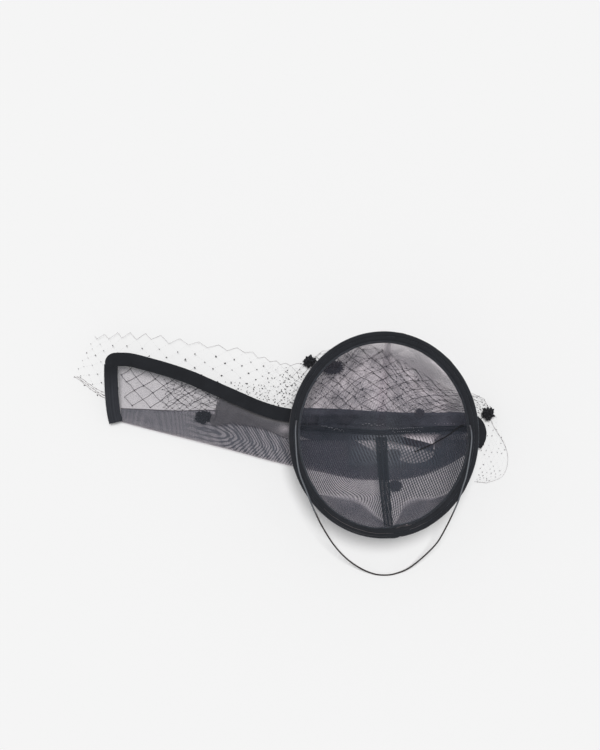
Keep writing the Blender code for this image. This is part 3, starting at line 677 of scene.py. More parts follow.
class Finish:
    """A material whose nodes are added in code."""

    def __init__(self, name, slot):
        self.material = bpy.data.materials.new(name)
        self.material.use_nodes = True
        self.slot = slot
        self.tree = self.material.node_tree
        self.shader = self.tree.nodes["Principled BSDF"]

    def join(self, socket, value):
        if isinstance(value, Value):
            self.tree.links.new(value.socket, socket)
        elif socket.type == "RGBA" and len(value) == 3:
            socket.default_value = (*value, 1.0)
        else:
            socket.default_value = value

    def node(self, kind, settings, *values, **named):
        """A node of that kind: its settings first, then the values or links of its inputs."""
        node = self.tree.nodes.new("ShaderNode" + kind)
        for key, value in settings.items():
            setattr(node, key, value)
        inputs = [socket for socket in node.inputs if socket.enabled]
        for socket, value in zip(inputs, values):
            self.join(socket, value)
        for name, value in named.items():
            self.join(node.inputs[name], value)
        return Value(self, next(socket for socket in node.outputs if socket.enabled))

    def set(self, **values):
        """Sets the Principled shader's inputs, with underscores for spaces."""
        for name, value in values.items():
            self.join(self.shader.inputs[name.replace("_", " ")], value)
        return self

    def mix(self, factor, a, b):
        return self.node("Mix", {"data_type": "RGBA"}, factor, a, b)

    def tones(self, factor, colour, dark, light):
        """The colour from its darker to its lighter tone."""
        return self.mix(factor, scaled(colour, dark), scaled(colour, light))

    def noise(self, scale, detail=2.0, rough=0.5):
        return self.node("TexNoise", {}, Vector=self.place(), Scale=scale, Detail=detail, Roughness=rough)

    def place(self):
        return self.node("TexCoord", {})["Object"]

    def place_axes(self):
        return self.node("SeparateXYZ", {}, self.place())

    def map_axes(self, name="weave"):
        """X and Y on one of the piece's own maps."""
        return self.node("SeparateXYZ", {}, self.node("UVMap", {"uv_map": name}))

    def attribute(self, name):
        return self.node("Attribute", {"attribute_name": name})["Fac"]

    def bump(self, strength, distance, height):
        return self.node("Bump", {}, Strength=strength, Distance=distance, Height=height)

    def see_through(self, cover, tint):
        """Lets the light pass where cover is 0."""
        clear = self.node("BsdfTransparent", {}, Color=tint)
        shown = Value(self, self.shader.outputs["BSDF"])
        mixed = self.node("MixShader", {}, cover.clamp(), clear, shown)
        self.join(self.tree.nodes["Material Output"].inputs["Surface"], mixed)
        return self


def scaled(colour, gain):
    """A colour times a gain, or times one for each of its channels."""
    gains = gain if isinstance(gain, tuple) else (gain,) * 3
    return tuple(c * g for c, g in zip(colour, gains))


def settings(part):
    """One of the groups of sizes and colours that the panel shows."""
    return getattr(bpy.context.scene, "headpiece_" + part)


def sheer(
    name, share, clear=0.03, solid=0.97, mottle=0.10, under=None, spots=False, glow=0.0, fade=False,
    tint=(1.0, 1.0, 1.0),
):
    """Open plain weave, laid out by the piece's own map in metres. share: how much of it the thread
    covers, on top and under; clear, solid: how much of the light a gap and a thread hold back."""
    made = Finish(name, "sheer")
    if under:
        share = share + (under - share) * made.attribute("under")
    weave = made.map_axes()
    gap = 1.0
    for axis in ("X", "Y"):
        thread = (share / 2 - (weave[axis] / settings("cap").weave).fold()) / THREAD_BLUR
        gap = (1 - (thread + 0.5).clamp()) * gap
    if spots:
        spot = made.map_axes("spots")
        light = spot["X"].wave() * spot["Y"].wave(0.35)
        gap = gap * (1 + made.attribute("spot_strength") * (light * 3 - 1))
        gap = (gap + made.attribute("opened") * (light + BETWEEN_SPOTS)).clamp()
    if glow:
        patch = (made.noise(60.0, 2.0, 0.45) - 0.48).math("MAXIMUM", 0.0)
        gap = (gap + patch * made.attribute("glow") * glow).clamp()
    blotch = made.noise(90.0, 3.0)
    cover = clear + (solid - clear) * (1 - gap) + (blotch - 0.5) * mottle
    if fade:
        cover = cover * made.attribute("fade")
    shade = made.tones(blotch, scaled(settings("colours").sheer, tint), 0.8, 1.2)
    made.set(Base_Color=shade, Roughness=0.55, Sheen_Weight=0.10, Sheen_Roughness=0.4)
    return made.see_through(cover, SHEER_LIGHT)


def bow_sheer(name):
    sizes = settings("bow")
    return sheer(name, sizes.upper_share, under=sizes.under_share, spots=True)


def hem_sheer(name):
    """The crown's gathered allowance, which thins out towards its edge."""
    made = Finish(name, "sheer").set(Base_Color=tuple(settings("colours").sheer), Roughness=0.6)
    blotch = made.noise(70.0)
    return made.see_through(made.attribute("fade") * (0.66 + 0.3 * (blotch - 0.5)), TAPE_LIGHT)


def taped(name, middle, edge, line, rim):
    """Seam tape: its map runs from -1 to 1 across. middle, edge: how much of the light it holds back
    there; line, rim: the widths of the stitched line in its middle and of its sewn edges."""
    made = Finish(name, "sheer")
    tape = made.map_axes()
    side = tape["X"].math("ABSOLUTE")
    edges = side.ramp(1 - rim - TAPE_BLUR, 1 - rim + TAPE_BLUR)
    centre = side.ramp(line + TAPE_BLUR, line - TAPE_BLUR)
    grain = made.noise(900.0)
    thin = middle - 0.25 * (tape["Y"] / TAPE_STITCH).wave() * grain
    made.set(Base_Color=made.mix(grain, (0.010, 0.014, 0.020), (0.020, 0.027, 0.038)), Roughness=0.8)
    return made.see_through(thin + (edge - thin) * edges.math("MAXIMUM", centre), TAPE_LIGHT)


def front_tape(name):
    """A soft dark stripe, strongest at the rim."""
    made = Finish(name, "sheer").set(Base_Color=tuple(settings("colours").sheer), Roughness=0.8)
    tape = made.map_axes()
    across = (1 - tape["X"] * tape["X"]).clamp()
    along = tape["Y"].ramp(0.035, 0.080)
    return made.see_through(across * along * (0.30 + 0.2 * made.noise(500.0)), (1.0, 0.98, 0.99))


def velvet(name, lift=1.0, light=None):
    """Short pile, crushed a little in places. light gives where it is lighter, and how much."""
    colour = scaled(settings("colours").velvet, lift)
    made = Finish(name, "velvet")
    crushed = made.noise(90.0, 4.0, 0.6)
    pile = made.noise(2600.0, 2.0, 0.7)
    shade = made.tones(crushed, colour, 0.55, 1.45)
    shade = made.mix((pile - 0.35).clamp(), shade, scaled(colour, 2.0))
    if light:
        share, gain = light(made, crushed)
        shade = made.mix(share.clamp(), shade, scaled(colour, gain))
    return made.set(
        Base_Color=shade, Roughness=0.95, Specular_IOR_Level=0.25,
        Normal=made.bump(0.5, 0.0004, pile + crushed * 1.5),
        Sheen_Weight=0.25, Sheen_Roughness=0.35, Sheen_Tint=(0.75, 0.85, 1.0, 1.0),
    )


def ribs_and_painted_sheen(made, crushed):
    """The velvet of the bow's left end has a painted sheen that makes it lighter towards its foot, and
    ribs along it.
    """
    ribbon = made.map_axes()
    ribs = (ribbon["X"] * (2 * math.pi * 26)).math("SINE") * 0.5 + 0.5
    foot = ribbon["Y"].ramp(0.050, 0.032)
    return foot * (0.35 + ribs * 0.45 + (crushed - 0.5) * 0.5), 3.0


def lighter_front_and_ends(made, crushed):
    """Under the crown the velvet is lighter along its front and at both its ends."""
    x, y = (made.place_axes()[axis] for axis in ("X", "Y"))
    inside = x.ramp(-0.081, -0.078) * x.ramp(0.083, 0.080)
    front, right, left = y.ramp(0.0150, 0.0175), x.ramp(0.010, 0.050), x.ramp(-0.050, -0.070)
    return inside * (0.08 + front * 0.5 + right * 0.70 + left * 0.3 + (crushed - 0.5) * 1.2), 7.0


def grained(name, scale, dark, light, slot="net", roughness=0.6):
    """A thread or a painted highlight line, mottled between two colours."""
    made = Finish(name, slot)
    return made.set(Base_Color=made.mix(made.noise(scale), dark, light), Roughness=roughness)


def net_ground(name):
    """The veil's film between its threads, darker and blotchy where it is gathered."""
    made = Finish(name, "net").set(Base_Color=(0.035, 0.030, 0.036), Roughness=0.8)
    patch = made.noise(105.0, 3.0, 0.55).ramp(0.47, 0.67)
    speck = made.noise(620.0, 2.0, 0.6).ramp(0.50, 0.75)
    return made.see_through(made.attribute("gather") * (patch * 0.20 + speck * 0.08), (1.0, 1.0, 1.0))


def chenille(name, tint=1.0):
    made = Finish(name, "chenille")
    grain = made.noise(1100.0, 3.0)
    return made.set(
        Base_Color=made.tones(grain, scaled(settings("colours").chenille, tint), 0.3, 1.5), Roughness=0.9,
        Normal=made.bump(0.6, 0.0003, grain), Specular_IOR_Level=0.25,
        Sheen_Weight=0.08, Sheen_Roughness=0.4, Sheen_Tint=(0.8, 0.88, 1.0, 1.0),
    )


def elastic(name, lift=1.0):
    """Round braid: its map runs round the cord and along it, in turns and in metres."""
    made = Finish(name, "elastic")
    cord = made.map_axes()
    around, along = cord["X"] * 6, cord["Y"] / BRAID_STEP
    braid = (around + along).fold().math("MAXIMUM", (around - along).fold())
    shade = made.tones(braid, scaled(settings("colours").elastic, lift), 1.5, 0.6)
    # Painted highlight: the cord takes its lighter colour only where it lies high on the rim, and is its
    # own dark brown lower down; it is also glossier up there.
    high = made.place_axes()["Z"].ramp(0.066, 0.072)
    shade = made.mix(high, scaled((0.030, 0.022, 0.022), lift), shade)
    return made.set(
        Base_Color=shade, Roughness=0.38 + 0.3 * (1 - high), Specular_IOR_Level=0.5,
        Normal=made.bump(0.35, 0.00012, 1 - braid),
    )


def floor_paper(name):
    made = Finish(name, None)
    return made.set(Base_Color=tuple(settings("colours").floor), Roughness=1.0, Specular_IOR_Level=0.0)


MAKERS = {
    "inner_sheer": lambda name: sheer(name, settings("cap").inner_share, spots=True),
    "sheer": lambda name: sheer(
        name, settings("cap").outer_share, mottle=0.14, spots=True, glow=5.0
    ),
    "bow_sheer": bow_sheer,
    "right_sheer": lambda name: sheer(name, 0.36, clear=0.10, tint=(1.35, 1.25, 1.15)),
    "lining_sheer": lambda name: sheer(
        name, 0.40, clear=0.70, solid=0.92, mottle=0.35, fade=True, tint=(1.5, 1.2, 1.0)
    ),
    "hem_sheer": hem_sheer,
    "seam_tape": lambda name: taped(name, middle=0.55, edge=0.94, line=0.0, rim=0.30),
    "back_tape": lambda name: taped(name, middle=0.80, edge=0.98, line=0.16, rim=0.34),
    "front_tape": front_tape,
    "rim_velvet": lambda name: velvet(name, lift=1.25),
    "bow_velvet": lambda name: velvet(name, light=lighter_front_and_ends),
    # The bow's left end: velvet with ribs and a painted sheen towards its foot.
    "post_velvet": lambda name: velvet(name, light=ribs_and_painted_sheen),
    # Painted highlight lines of the rim, pale against the dark velvet.
    "ply_edge": lambda name: grained(
        name, 700.0, (0.030, 0.027, 0.030), (0.170, 0.150, 0.155), "velvet", roughness=0.8
    ),
    "net_thread": lambda name: grained(name, 1500.0, tuple(settings("colours").net), (0.06, 0.042, 0.05)),
    "edge_thread": lambda name: grained(name, 700.0, (0.10, 0.07, 0.08), (0.22, 0.17, 0.18)),
    "pale_thread": lambda name: grained(name, 1500.0, (0.42, 0.34, 0.37), (0.62, 0.52, 0.55)),
    "dash_thread": lambda name: grained(name, 900.0, (0.08, 0.08, 0.09), (0.46, 0.45, 0.49)),
    "net_ground": net_ground,
    "chenille": chenille,
    "soft_chenille": lambda name: chenille(name, tint=(4.8, 4.4, 4.4)),
    "elastic": elastic,
    "tail_elastic": lambda name: elastic(name, lift=0.06),
    "floor_paper": floor_paper,
}
FINISHES = {}


def finish(name):
    """The finish of that name, made the first time it is asked for."""
    if name not in FINISHES:
        FINISHES[name] = MAKERS[name](name)
    return FINISHES[name]


# Shapes


class Shape:
    """Points and faces of one piece, each face corner with its place on the piece's map."""

    def __init__(self):
        self.points = []
        self.faces = []
        self.map = []
        self.spots = []
        self.values = {}

    def grid(self, rows, place=None, spots=None, values=None):
        """Quads over rows of points. place and spots give a point's places on the piece's two maps
        by its row and its number in it, and values gives its other values by name."""
        start, wide = len(self.points), len(rows[0])
        for name, value in (values or {}).items():
            numbers = self.values.setdefault(name, [])
            numbers += [value(a, b) for a in range(len(rows)) for b in range(wide)]
        for row in rows:
            self.points += [tuple(p) for p in row]
        for k in range(len(rows) - 1):
            for s in range(wide - 1):
                corners = ((k, s), (k, s + 1), (k + 1, s + 1), (k + 1, s))
                self.faces.append([start + a * wide + b for a, b in corners])
                self.map.append([place(a, b) for a, b in corners])
                if spots:
                    self.spots.append([spots(a, b) for a, b in corners])

    def rings(self, rings, loop=False, spacing=1.0):
        """A tube through rings of points, with its ends capped unless it is a loop."""
        start, sides = len(self.points), len(rings[0])
        for ring in rings:
            self.points += [tuple(p) for p in ring]
        count = len(rings)
        for k in range(count if loop else count - 1):
            for s in range(sides):
                corners = ((k, s), (k, s + 1), (k + 1, s + 1), (k + 1, s))
                self.faces.append([start + (a % count) * sides + b % sides for a, b in corners])
                self.map.append([(b / sides, a * spacing) for a, b in corners])
        if not loop:
            for first, flip in ((start, 1), (start + (count - 1) * sides, -1)):
                face = [first + s for s in range(sides)][::flip]
                self.faces.append(face[::-1])
                self.map.append([(0.0, 0.0)] * sides)

    def tube(self, line, radii, sides=6):
        """A round thread along a line of points. radii is one size, or one for each point."""
        if not hasattr(radii, "__len__"):
            radii = [radii] * len(line)
        rings, side = [], Vector((0.31, 0.22, 0.93))
        for k, (p, radius) in enumerate(zip(line, radii)):
            after, before = line[min(k + 1, len(line) - 1)], line[max(k - 1, 0)]
            along = (after - before).normalized()
            side = (side - along * side.dot(along)).normalized()
            up = along.cross(side)
            rings.append([p + (side * math.cos(a) + up * math.sin(a)) * radius for a in full_turn(sides)])
        self.rings(rings, spacing=length_of(line) / max(len(line) - 1, 1))

    def ball(self, middle, axes):
        """A small knot with eight faces."""
        start = len(self.points)
        self.points += [tuple(middle + axis * side) for axis in axes for side in (1, -1)]
        for x in (0, 1):
            for y in (2, 3):
                for z in (4, 5):
                    face = [x, y, z] if (x + y + z) % 2 == 0 else [x, z, y]
                    self.faces.append([start + k for k in face])
                    self.map.append([(0.0, 0.0)] * 3)

    def piece(self, name, look, merge=0.0, angle=None):
        mesh = bpy.data.meshes.new(name)
        mesh.from_pydata(self.points, [], self.faces)
        for key, places in (("weave", self.map), ("spots", self.spots)):
            if places:
                layer = mesh.uv_layers.new(name=key)
                layer.data.foreach_set("uv", [c for face in places for place in face for c in place])
        for key, numbers in self.values.items():
            mesh.attributes.new(key, "FLOAT", "POINT").data.foreach_set("value", numbers)
        bm = bmesh.new()
        bm.from_mesh(mesh)
        if merge:
            bmesh.ops.remove_doubles(bm, verts=bm.verts, dist=merge)
        bmesh.ops.recalc_face_normals(bm, faces=bm.faces)
        bm.to_mesh(mesh)
        bm.free()
        mesh.polygons.foreach_set("use_smooth", [True] * len(mesh.polygons))
        if angle:
            mesh.set_sharp_from_angle(angle=math.radians(angle))
        obj = bpy.data.objects.new(name, mesh)
        bpy.context.scene.collection.objects.link(obj)
        made = finish(look)
        mesh.materials.append(made.material)
        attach(obj, "root")
        return obj


def full_turn(count):
    """The angles of count points evenly round a circle."""
    return [2 * math.pi * k / count for k in range(count)]


def length_of(line):
    return sum((b - a).length for a, b in zip(line, line[1:]))


def bell(offset, width):
    return math.exp(-((offset / width) ** 2))


def patch(x, y, middle, size):
    """1 in the middle of a soft oval, falling to 0 round it."""
    return bell(x - middle[0], size[0]) * bell(y - middle[1], size[1])


def smooth_value(before, start, end, after, share):
    return 0.5 * (
        2 * start
        + (end - before) * share
        + (2 * before - 5 * start + 4 * end - after) * share**2
        + (3 * start - before - 3 * end + after) * share**3
    )


def read_table(rows, place):
    """A table's values at a place from 0 to 1 along its rows, smoothly between them."""
    at = min(max(place, 0), 1) * (len(rows) - 1)
    first = min(int(at), len(rows) - 2)
    near = [rows[min(max(first + k, 0), len(rows) - 1)] for k in (-1, 0, 1, 2)]
    return {key: smooth_value(*[row[key] for row in near], at - first) for key in rows[0]}


def halving(is_low):
    """Where between 0 and 1 is_low stops being true."""
    low, high = 0.0, 1.0
    for _ in range(30):
        middle = (low + high) / 2
        low, high = (middle, high) if is_low(middle) else (low, middle)
    return (low + high) / 2


def find_row(rows, key, value):
    """A table's values where one of them, which rises along it, is as given."""
    return read_table(rows, halving(lambda place: read_table(rows, place)[key] < value))


def smooth_line(points, count, fineness=20):
    """Evenly spaced points on a smooth curve through the given ones."""
    rows = table("x y z", *points)
    steps = fineness * max(count, len(points))
    fine = [Vector(tuple(read_table(rows, k / steps).values())) for k in range(steps + 1)]
    along = [0.0]
    for a, b in zip(fine, fine[1:]):
        along.append(along[-1] + (b - a).length)
    line, near = [], 0
    for k in range(count):
        target = along[-1] * k / (count - 1)
        while near < len(fine) - 2 and along[near + 1] < target:
            near += 1
        share = (target - along[near]) / (along[near + 1] - along[near])
        line.append(fine[near].lerp(fine[near + 1], share))
    return line


def reach(share, left, right):
    return share * (left if share < 0 else right)


def ease(value, low, high):
    t = min(max((value - low) / (high - low), 0), 1)
    return t * t * (3 - 2 * t)


def between(value, start, end):
    """Rises over one span and falls over the next."""
    return ease(value, *start) * (1 - ease(value, *end))


def ripple(x, y, seed=0.0):
    """A smooth wander between -1 and 1, with no draw of chance in it."""
    return (
        math.sin(x * 1.00 + y * 0.37 + seed)
        + math.sin(x * 0.53 - y * 1.13 + 2.1 * seed + 1.7)
        + math.sin(x * 1.91 + y * 1.57 + 0.7 * seed + 4.2)
    ) / 3


def dent(bearing, turn):
    total = 0.0
    for row in CROWN_DENTS:
        side = (math.degrees(bearing) - row["bearing"] + 180) % 360 - 180
        across = max(0.0, 1 - (side / row["reach"]) ** 2)
        down = max(0.0, 1 - ((turn - row["turn"]) / DENT_SPAN) ** 2)
        total += DENT_DEPTH * row["depth"] * across**2 * down**2
    return total


def crown_point(bearing, turn, outward):
    """A point of the crown: turn runs from 0 in its middle to 1 at the rim."""
    angle = turn * CROWN_TURN
    wide = math.sin(angle) / math.sin(CROWN_TURN)
    drop = (math.cos(angle) - math.cos(CROWN_TURN)) / (1 - math.cos(CROWN_TURN))
    pushed = dent(bearing, turn)
    x = ((CROWN_A + outward) * wide - pushed) * math.cos(bearing)
    y = ((CROWN_B + outward) * wide - pushed) * math.sin(bearing)
    return Vector((x, y, APEX + CROWN_RISE - (CROWN_RISE + outward) * drop))


def on_crown(x, y, outward):
    """The point of the crown, or of a layer beside it, at a place seen from above."""
    bearing = math.atan2(y / (CROWN_B + outward), x / (CROWN_A + outward))
    distance = math.hypot(x, y)
    turn = halving(lambda near: math.hypot(*crown_point(bearing, near, outward).xy) < distance)
    return Vector((x, y, crown_point(bearing, turn, outward).z))


def band_turn():
    return 1 - BAND_HEIGHT / (CROWN_TURN * (CROWN_A / math.sin(CROWN_TURN)))


def hem_turn(bearing):
    """The turn at which the crown's seam allowance starts, at a bearing in degrees."""
    if not HEM_EDGE[0]["bearing"] < bearing < HEM_EDGE[-1]["bearing"]:
        return 1.0
    return find_row(HEM_EDGE, "bearing", bearing)["turn"]


def rim_point(bearing, out, up):
    """A point beside the middle line of the rim's roll."""
    x, y = (ROLL_MIDDLE.x + out) * math.cos(bearing), (ROLL_MIDDLE.y + out) * math.sin(bearing)
    return Vector((x, y, ROLL_MIDDLE.z + up))


def bow_row(place):
    row = read_table(BOW_SECTIONS, place)
    row["x"] = reach(row["at"], BOW_LEFT, BOW_RIGHT)
    for key in ("edge", "fold", "end"):
        row[key] *= BOW_WIDTH
    row["rise"] *= BOW_LOFT
    row["round"] *= FOLD_RADIUS
    row["lift"] = CLOTH / 2 + max(row["lift"], 0) * VEIL_THICKNESS
    return row


def place_line(rows, count):
    points = [
        (reach(row["x"], BOW_LEFT, BOW_RIGHT), row["y"] * BOW_WIDTH, row["z"] * BOW_LOFT) for row in rows
    ]
    return smooth_line(points, count)


def waist_front(x):
    at = x / (WAIST_LEFT if x < 0 else WAIST_RIGHT)
    if abs(at) > 1:
        return -BOW_WIDTH
    return find_row(WAIST_SECTIONS, "at", at)["front"] * WAIST_WIDTH


def veil_point(u, v):
    """A point of the veil: u runs along it from its left end, v from the bow to its free edge."""
    row = read_table(VEIL_EDGES, u)
    inner_x, outer_x = (reach(row[key], VEIL_LEFT, VEIL_RIGHT) for key in ("inner_x", "outer_x"))
    inner_y = max(row["inner_y"] * VEIL_FRONT, waist_front(inner_x) + GAP)
    x = inner_x + (outer_x - inner_x) * v
    y = inner_y + (row["outer_y"] * VEIL_FRONT - inner_y) * v
    wave = 0.5 - 0.5 * math.cos(2 * math.pi * (x + VEIL_LEFT) / VEIL_WAVE)
    free = ease(-x / VEIL_LEFT, *RIPPLE_LEFT) * ease(y / VEIL_FRONT, *RIPPLE_FRONT)
    return Vector((x, y, VEIL_THICKNESS / 2 + VEIL_RIPPLE * wave * free))


# Operators


class HEADPIECE_OT_crown(bpy.types.Operator):
    """The crown's two layers of sheer, each of four panels, and the hem over the back"""

    bl_idname = "headpiece.crown"
    bl_label = "Crown"

    def execute(self, context):
        seams = [math.radians(bearing) for bearing in SEAMS.values()]
        seams.append(seams[0] + 2 * math.pi)
        for layer in CROWN_LAYERS:
            shape = Shape()
            for right, left, turned, row in zip(seams, seams[1:], layer["turns"], CROWN_SPOTS):
                self.panel(shape, right, left, math.radians(turned), row, layer["outward"])
            obj = shape.piece(layer["name"], layer["look"], merge=MERGE)
            if layer is CROWN_LAYERS[0]:
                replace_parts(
                    obj, "crown_front_left", "crown_front_right", "crown_back_left", "crown_back_right"
                )
        self.hem()
        return {"FINISHED"}

    def panel(self, shape, right, left, turned, row, outward):
        """The cloth between two seams, its weave turned, with its row of the table of light spots."""
        steps, rings = 44, 40
        bearings = [right + (left - right) * s / steps for s in range(steps + 1)]
        hems = [hem_turn(math.degrees(bearing)) for bearing in bearings]
        grid = []
        for k in range(rings + 1):
            turn = k / rings
            crease = settings("cap").wrinkle * between(turn, *CREASED)
            lifts = [crease * ripple(bearing * 9, turn * 11, outward * 3000) for bearing in bearings]
            grid.append([crown_point(b, turn, outward + lift) for b, lift in zip(bearings, lifts)])

        def place(k, s):
            arc = k / rings * CROWN_TURN * CROWN_RADIUS
            angle = bearings[s] - (right + left) / 2 + turned
            return (arc * math.cos(angle), arc * math.sin(angle))

        def spots(k, s):
            return self.spot_place(grid[k][s], k / rings, row)

        def strength(k, s):
            turn, back = k / rings, -grid[k][s].y
            ground = row["middle"] + (row["out"] - row["middle"]) * ease(turn, *SPOTS_CHANGE)
            ground *= 1 - 0.9 * ease(turn, hems[s] - HEM_BLUR, hems[s] + HEM_BLUR)
            return ground + (1.15 - 0.05 * ease(back, *OPENING_DARKER) - ground) * self.opening(grid[k][s])

        def opened(k, s):
            x, back = grid[k][s].x, -grid[k][s].y
            corner = ease(x, *CORNER_LEFT) * (1 - ease(back, *CORNER_BACK))
            darker = (1 - corner) * ease(back, *OPENING_DARKER)
            return (3.0 * corner - 0.55 * darker) * self.opening(grid[k][s])

        def glow(k, s):
            return row["glow"] * ease(k / rings, *PATCHES_START)

        shape.grid(grid, place, spots, {"spot_strength": strength, "glow": glow, "opened": opened})

    def opening(self, p):
        """How far a point of the crown lies over the opening in the bow."""
        wide = 1 - ease(abs(p.x - OPENING_MIDDLE), *OPENING_ENDS)
        return wide * between(-p.y, *OPENING_ACROSS)

    def spot_place(self, p, turn, row):
        """Where a point lies in a panel's columns and rows of light spots, counted in spots."""
        flat = math.hypot(p.x, p.y)
        spread = 1 + 0.4 * (turn * CROWN_TURN * CROWN_RADIUS / flat - 1) if flat > MERGE else 1
        x, y = p.x * spread, p.y * spread
        column, slope = math.radians(row["column"]), math.radians(row["row"])
        swirl = SWIRL_SHIFT * patch(x, y, SWIRL_MIDDLE, SWIRL_SIZE)
        wander = 0.0007 * ripple(x * 110, y * 90)
        across = x * math.cos(column) + y * math.sin(column) + wander + swirl
        down = y * math.cos(slope) - x * math.sin(slope) + 0.5 * wander
        if row["tall"] > STRIPES:
            across -= FAN_SHARE * (p.y - FAN_START) * ease(p.x, *FAN_RIGHT) * ease(-p.y, *FAN_BACK)
        share = self.opening(p)
        wide, tall = (row[key] + (OPENING_SPOT - row[key]) * share for key in ("wide", "tall"))
        return (across / wide, down / tall)

    def hem(self):
        """The crown's seam allowance, which lies in soft lobes outside along the back of the rim."""
        steps, down = 130, 16
        first, last = HEM_EDGE[0]["bearing"] + 0.5, HEM_EDGE[-1]["bearing"] - 0.5
        rows = []
        for k in range(steps + 1):
            degrees = first + (last - first) * k / steps
            low = hem_turn(degrees)
            turns = [low + (0.99 - low) * s / down for s in range(down + 1)]
            rows.append([crown_point(math.radians(degrees), turn, HEM_OUTWARD) for turn in turns])
        long = (CROWN_A + CROWN_B) / 2 * math.radians(last - first)

        def fade(k, s):
            return ease(s / down, -0.02, 0.14) * (1 - 0.35 * ease(s / down, 0.2, 0.9))

        shape = Shape()
        shape.grid(rows, lambda k, s: (long * k / steps, s * 0.0012), values={"fade": fade})
        obj = shape.piece("crown_hem", "hem_sheer")


class HEADPIECE_OT_rim(bpy.types.Operator):
    """The velvet roll, the velvet band inside it, its overlap at the back and its stitches"""

    bl_idname = "headpiece.rim"
    bl_label = "Rim"

    def execute(self, context):
        steps = 220
        self.roll(steps)
        self.band(steps)
        self.painted_highlight_lines()
        self.stitches(context.scene.headpiece_cap.stitches)
        self.pale_strands()
        return {"FINISHED"}

    def roll(self, steps):
        """The roll, thicker at its joint and pinched beside it."""
        rings = []
        for bearing in full_turn(steps):
            away = (bearing - math.radians(RIM_JOINT) + math.pi) % (2 * math.pi) - math.pi
            size = 1 + 0.025 * ripple(bearing * 14, 0.0) + SWELLING[0] * bell(away, SWELLING[1])
            size = ROLL / 2 * (size - PINCH[0] * bell(away - PINCH_AWAY, PINCH[1]))
            ring = [rim_point(bearing, size * math.cos(a), size * math.sin(a)) for a in full_turn(20)]
            rings.append(ring)
        shape = Shape()
        shape.rings(rings, loop=True)
        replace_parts(shape.piece("rim_piping", "rim_velvet"), "rim_roll")

    def band(self, steps):
        """The band, lapped over itself at the joint: its section runs down the crown and back up."""
        low = band_turn()
        outer = -(CLOTH / 2 + SEAT)
        inner = outer - BAND_THICKNESS
        section = (
            (0.00, outer), (-0.05, (outer + inner) / 2), (0.00, inner), (0.22, inner - 0.0001),
            (0.45, inner), (0.70, inner - 0.0001), (0.95, inner), (1.07, inner + 0.0003), (1.15, outer),
            (1.17, 0.0), (1.12, 0.0012), (1.02, 0.0010), (1.02, outer), (0.66, outer), (0.33, outer),
        )
        rings = []
        for bearing in full_turn(steps):
            degrees = math.degrees(bearing)
            slack = 0.00018 * ripple(bearing * 17, 3.0) - LAP_THICKNESS * between(degrees, *LAPPED)
            edge = low + NARROWING * between(degrees, *NARROWED) - STEP_WIDTH * between(degrees, *STEPPED)
            rings.append([
                crown_point(bearing, edge + (1 - edge) * share, out + slack * (out < outer))
                for share, out in section
            ])
        shape = Shape()
        shape.rings(rings, loop=True)
        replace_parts(shape.piece("rim_binding", "rim_velvet"), "rim_band")

    def painted_highlight_lines(self):
        """Painted highlights: fine pale lines between roll and band and outside, and one along the lapped
        band's step.
        """
        shape = Shape()
        for row in PAINTED_HIGHLIGHT_LINES:
            span = row["end"] - row["start"]
            count = span * 2
            line, sizes = [], []
            for k in range(count + 1):
                bearing = math.radians(row["start"] + span * k / count)
                wander = 0.00025 * ripple(bearing * 23, row["start"])
                line.append(rim_point(bearing, row["out"] * ROLL + wander, row["up"] * ROLL))
                sizes.append(row["thick"] * (0.4 + 0.6 * math.sin(math.pi * k / count)))
            shape.tube(line, sizes, 4)
        # The lapped band's step gets a painted highlight line too.
        step = [on_crown(x, y, RIM_INSIDE) for x, y in JOINT_STEP]
        shape.tube(smooth_line(step, 16), 0.00026, 4)
        shape.piece("rim_painted_highlight_lines", "ply_edge")

    def stitches(self, count):
        shape = Shape()
        low = band_turn()
        inward = -(CLOTH / 2 + SEAT + BAND_THICKNESS + 0.0001)
        for k in range(count):
            line = []
            for s in range(5):
                bearing = 2 * math.pi * (k + 0.55 * s / 4) / count
                rise = 0.0002 * math.sin(math.pi * s / 4)
                line.append(crown_point(bearing, low + (1 - low) * 0.30, inward - rise))
            shape.tube(line, STITCH, 5)
        shape.piece("rim_stitches", "net_thread")

    def pale_strands(self):
        """Short pale strands that show at the rim's back."""
        shape = Shape()
        for end in PALE_STRANDS:
            shape.tube(smooth_line([on_crown(x, y, RIM_INSIDE) for x, y in end], 9), STITCH, 5)
        shape.piece("rim_pale_strands", "pale_thread")


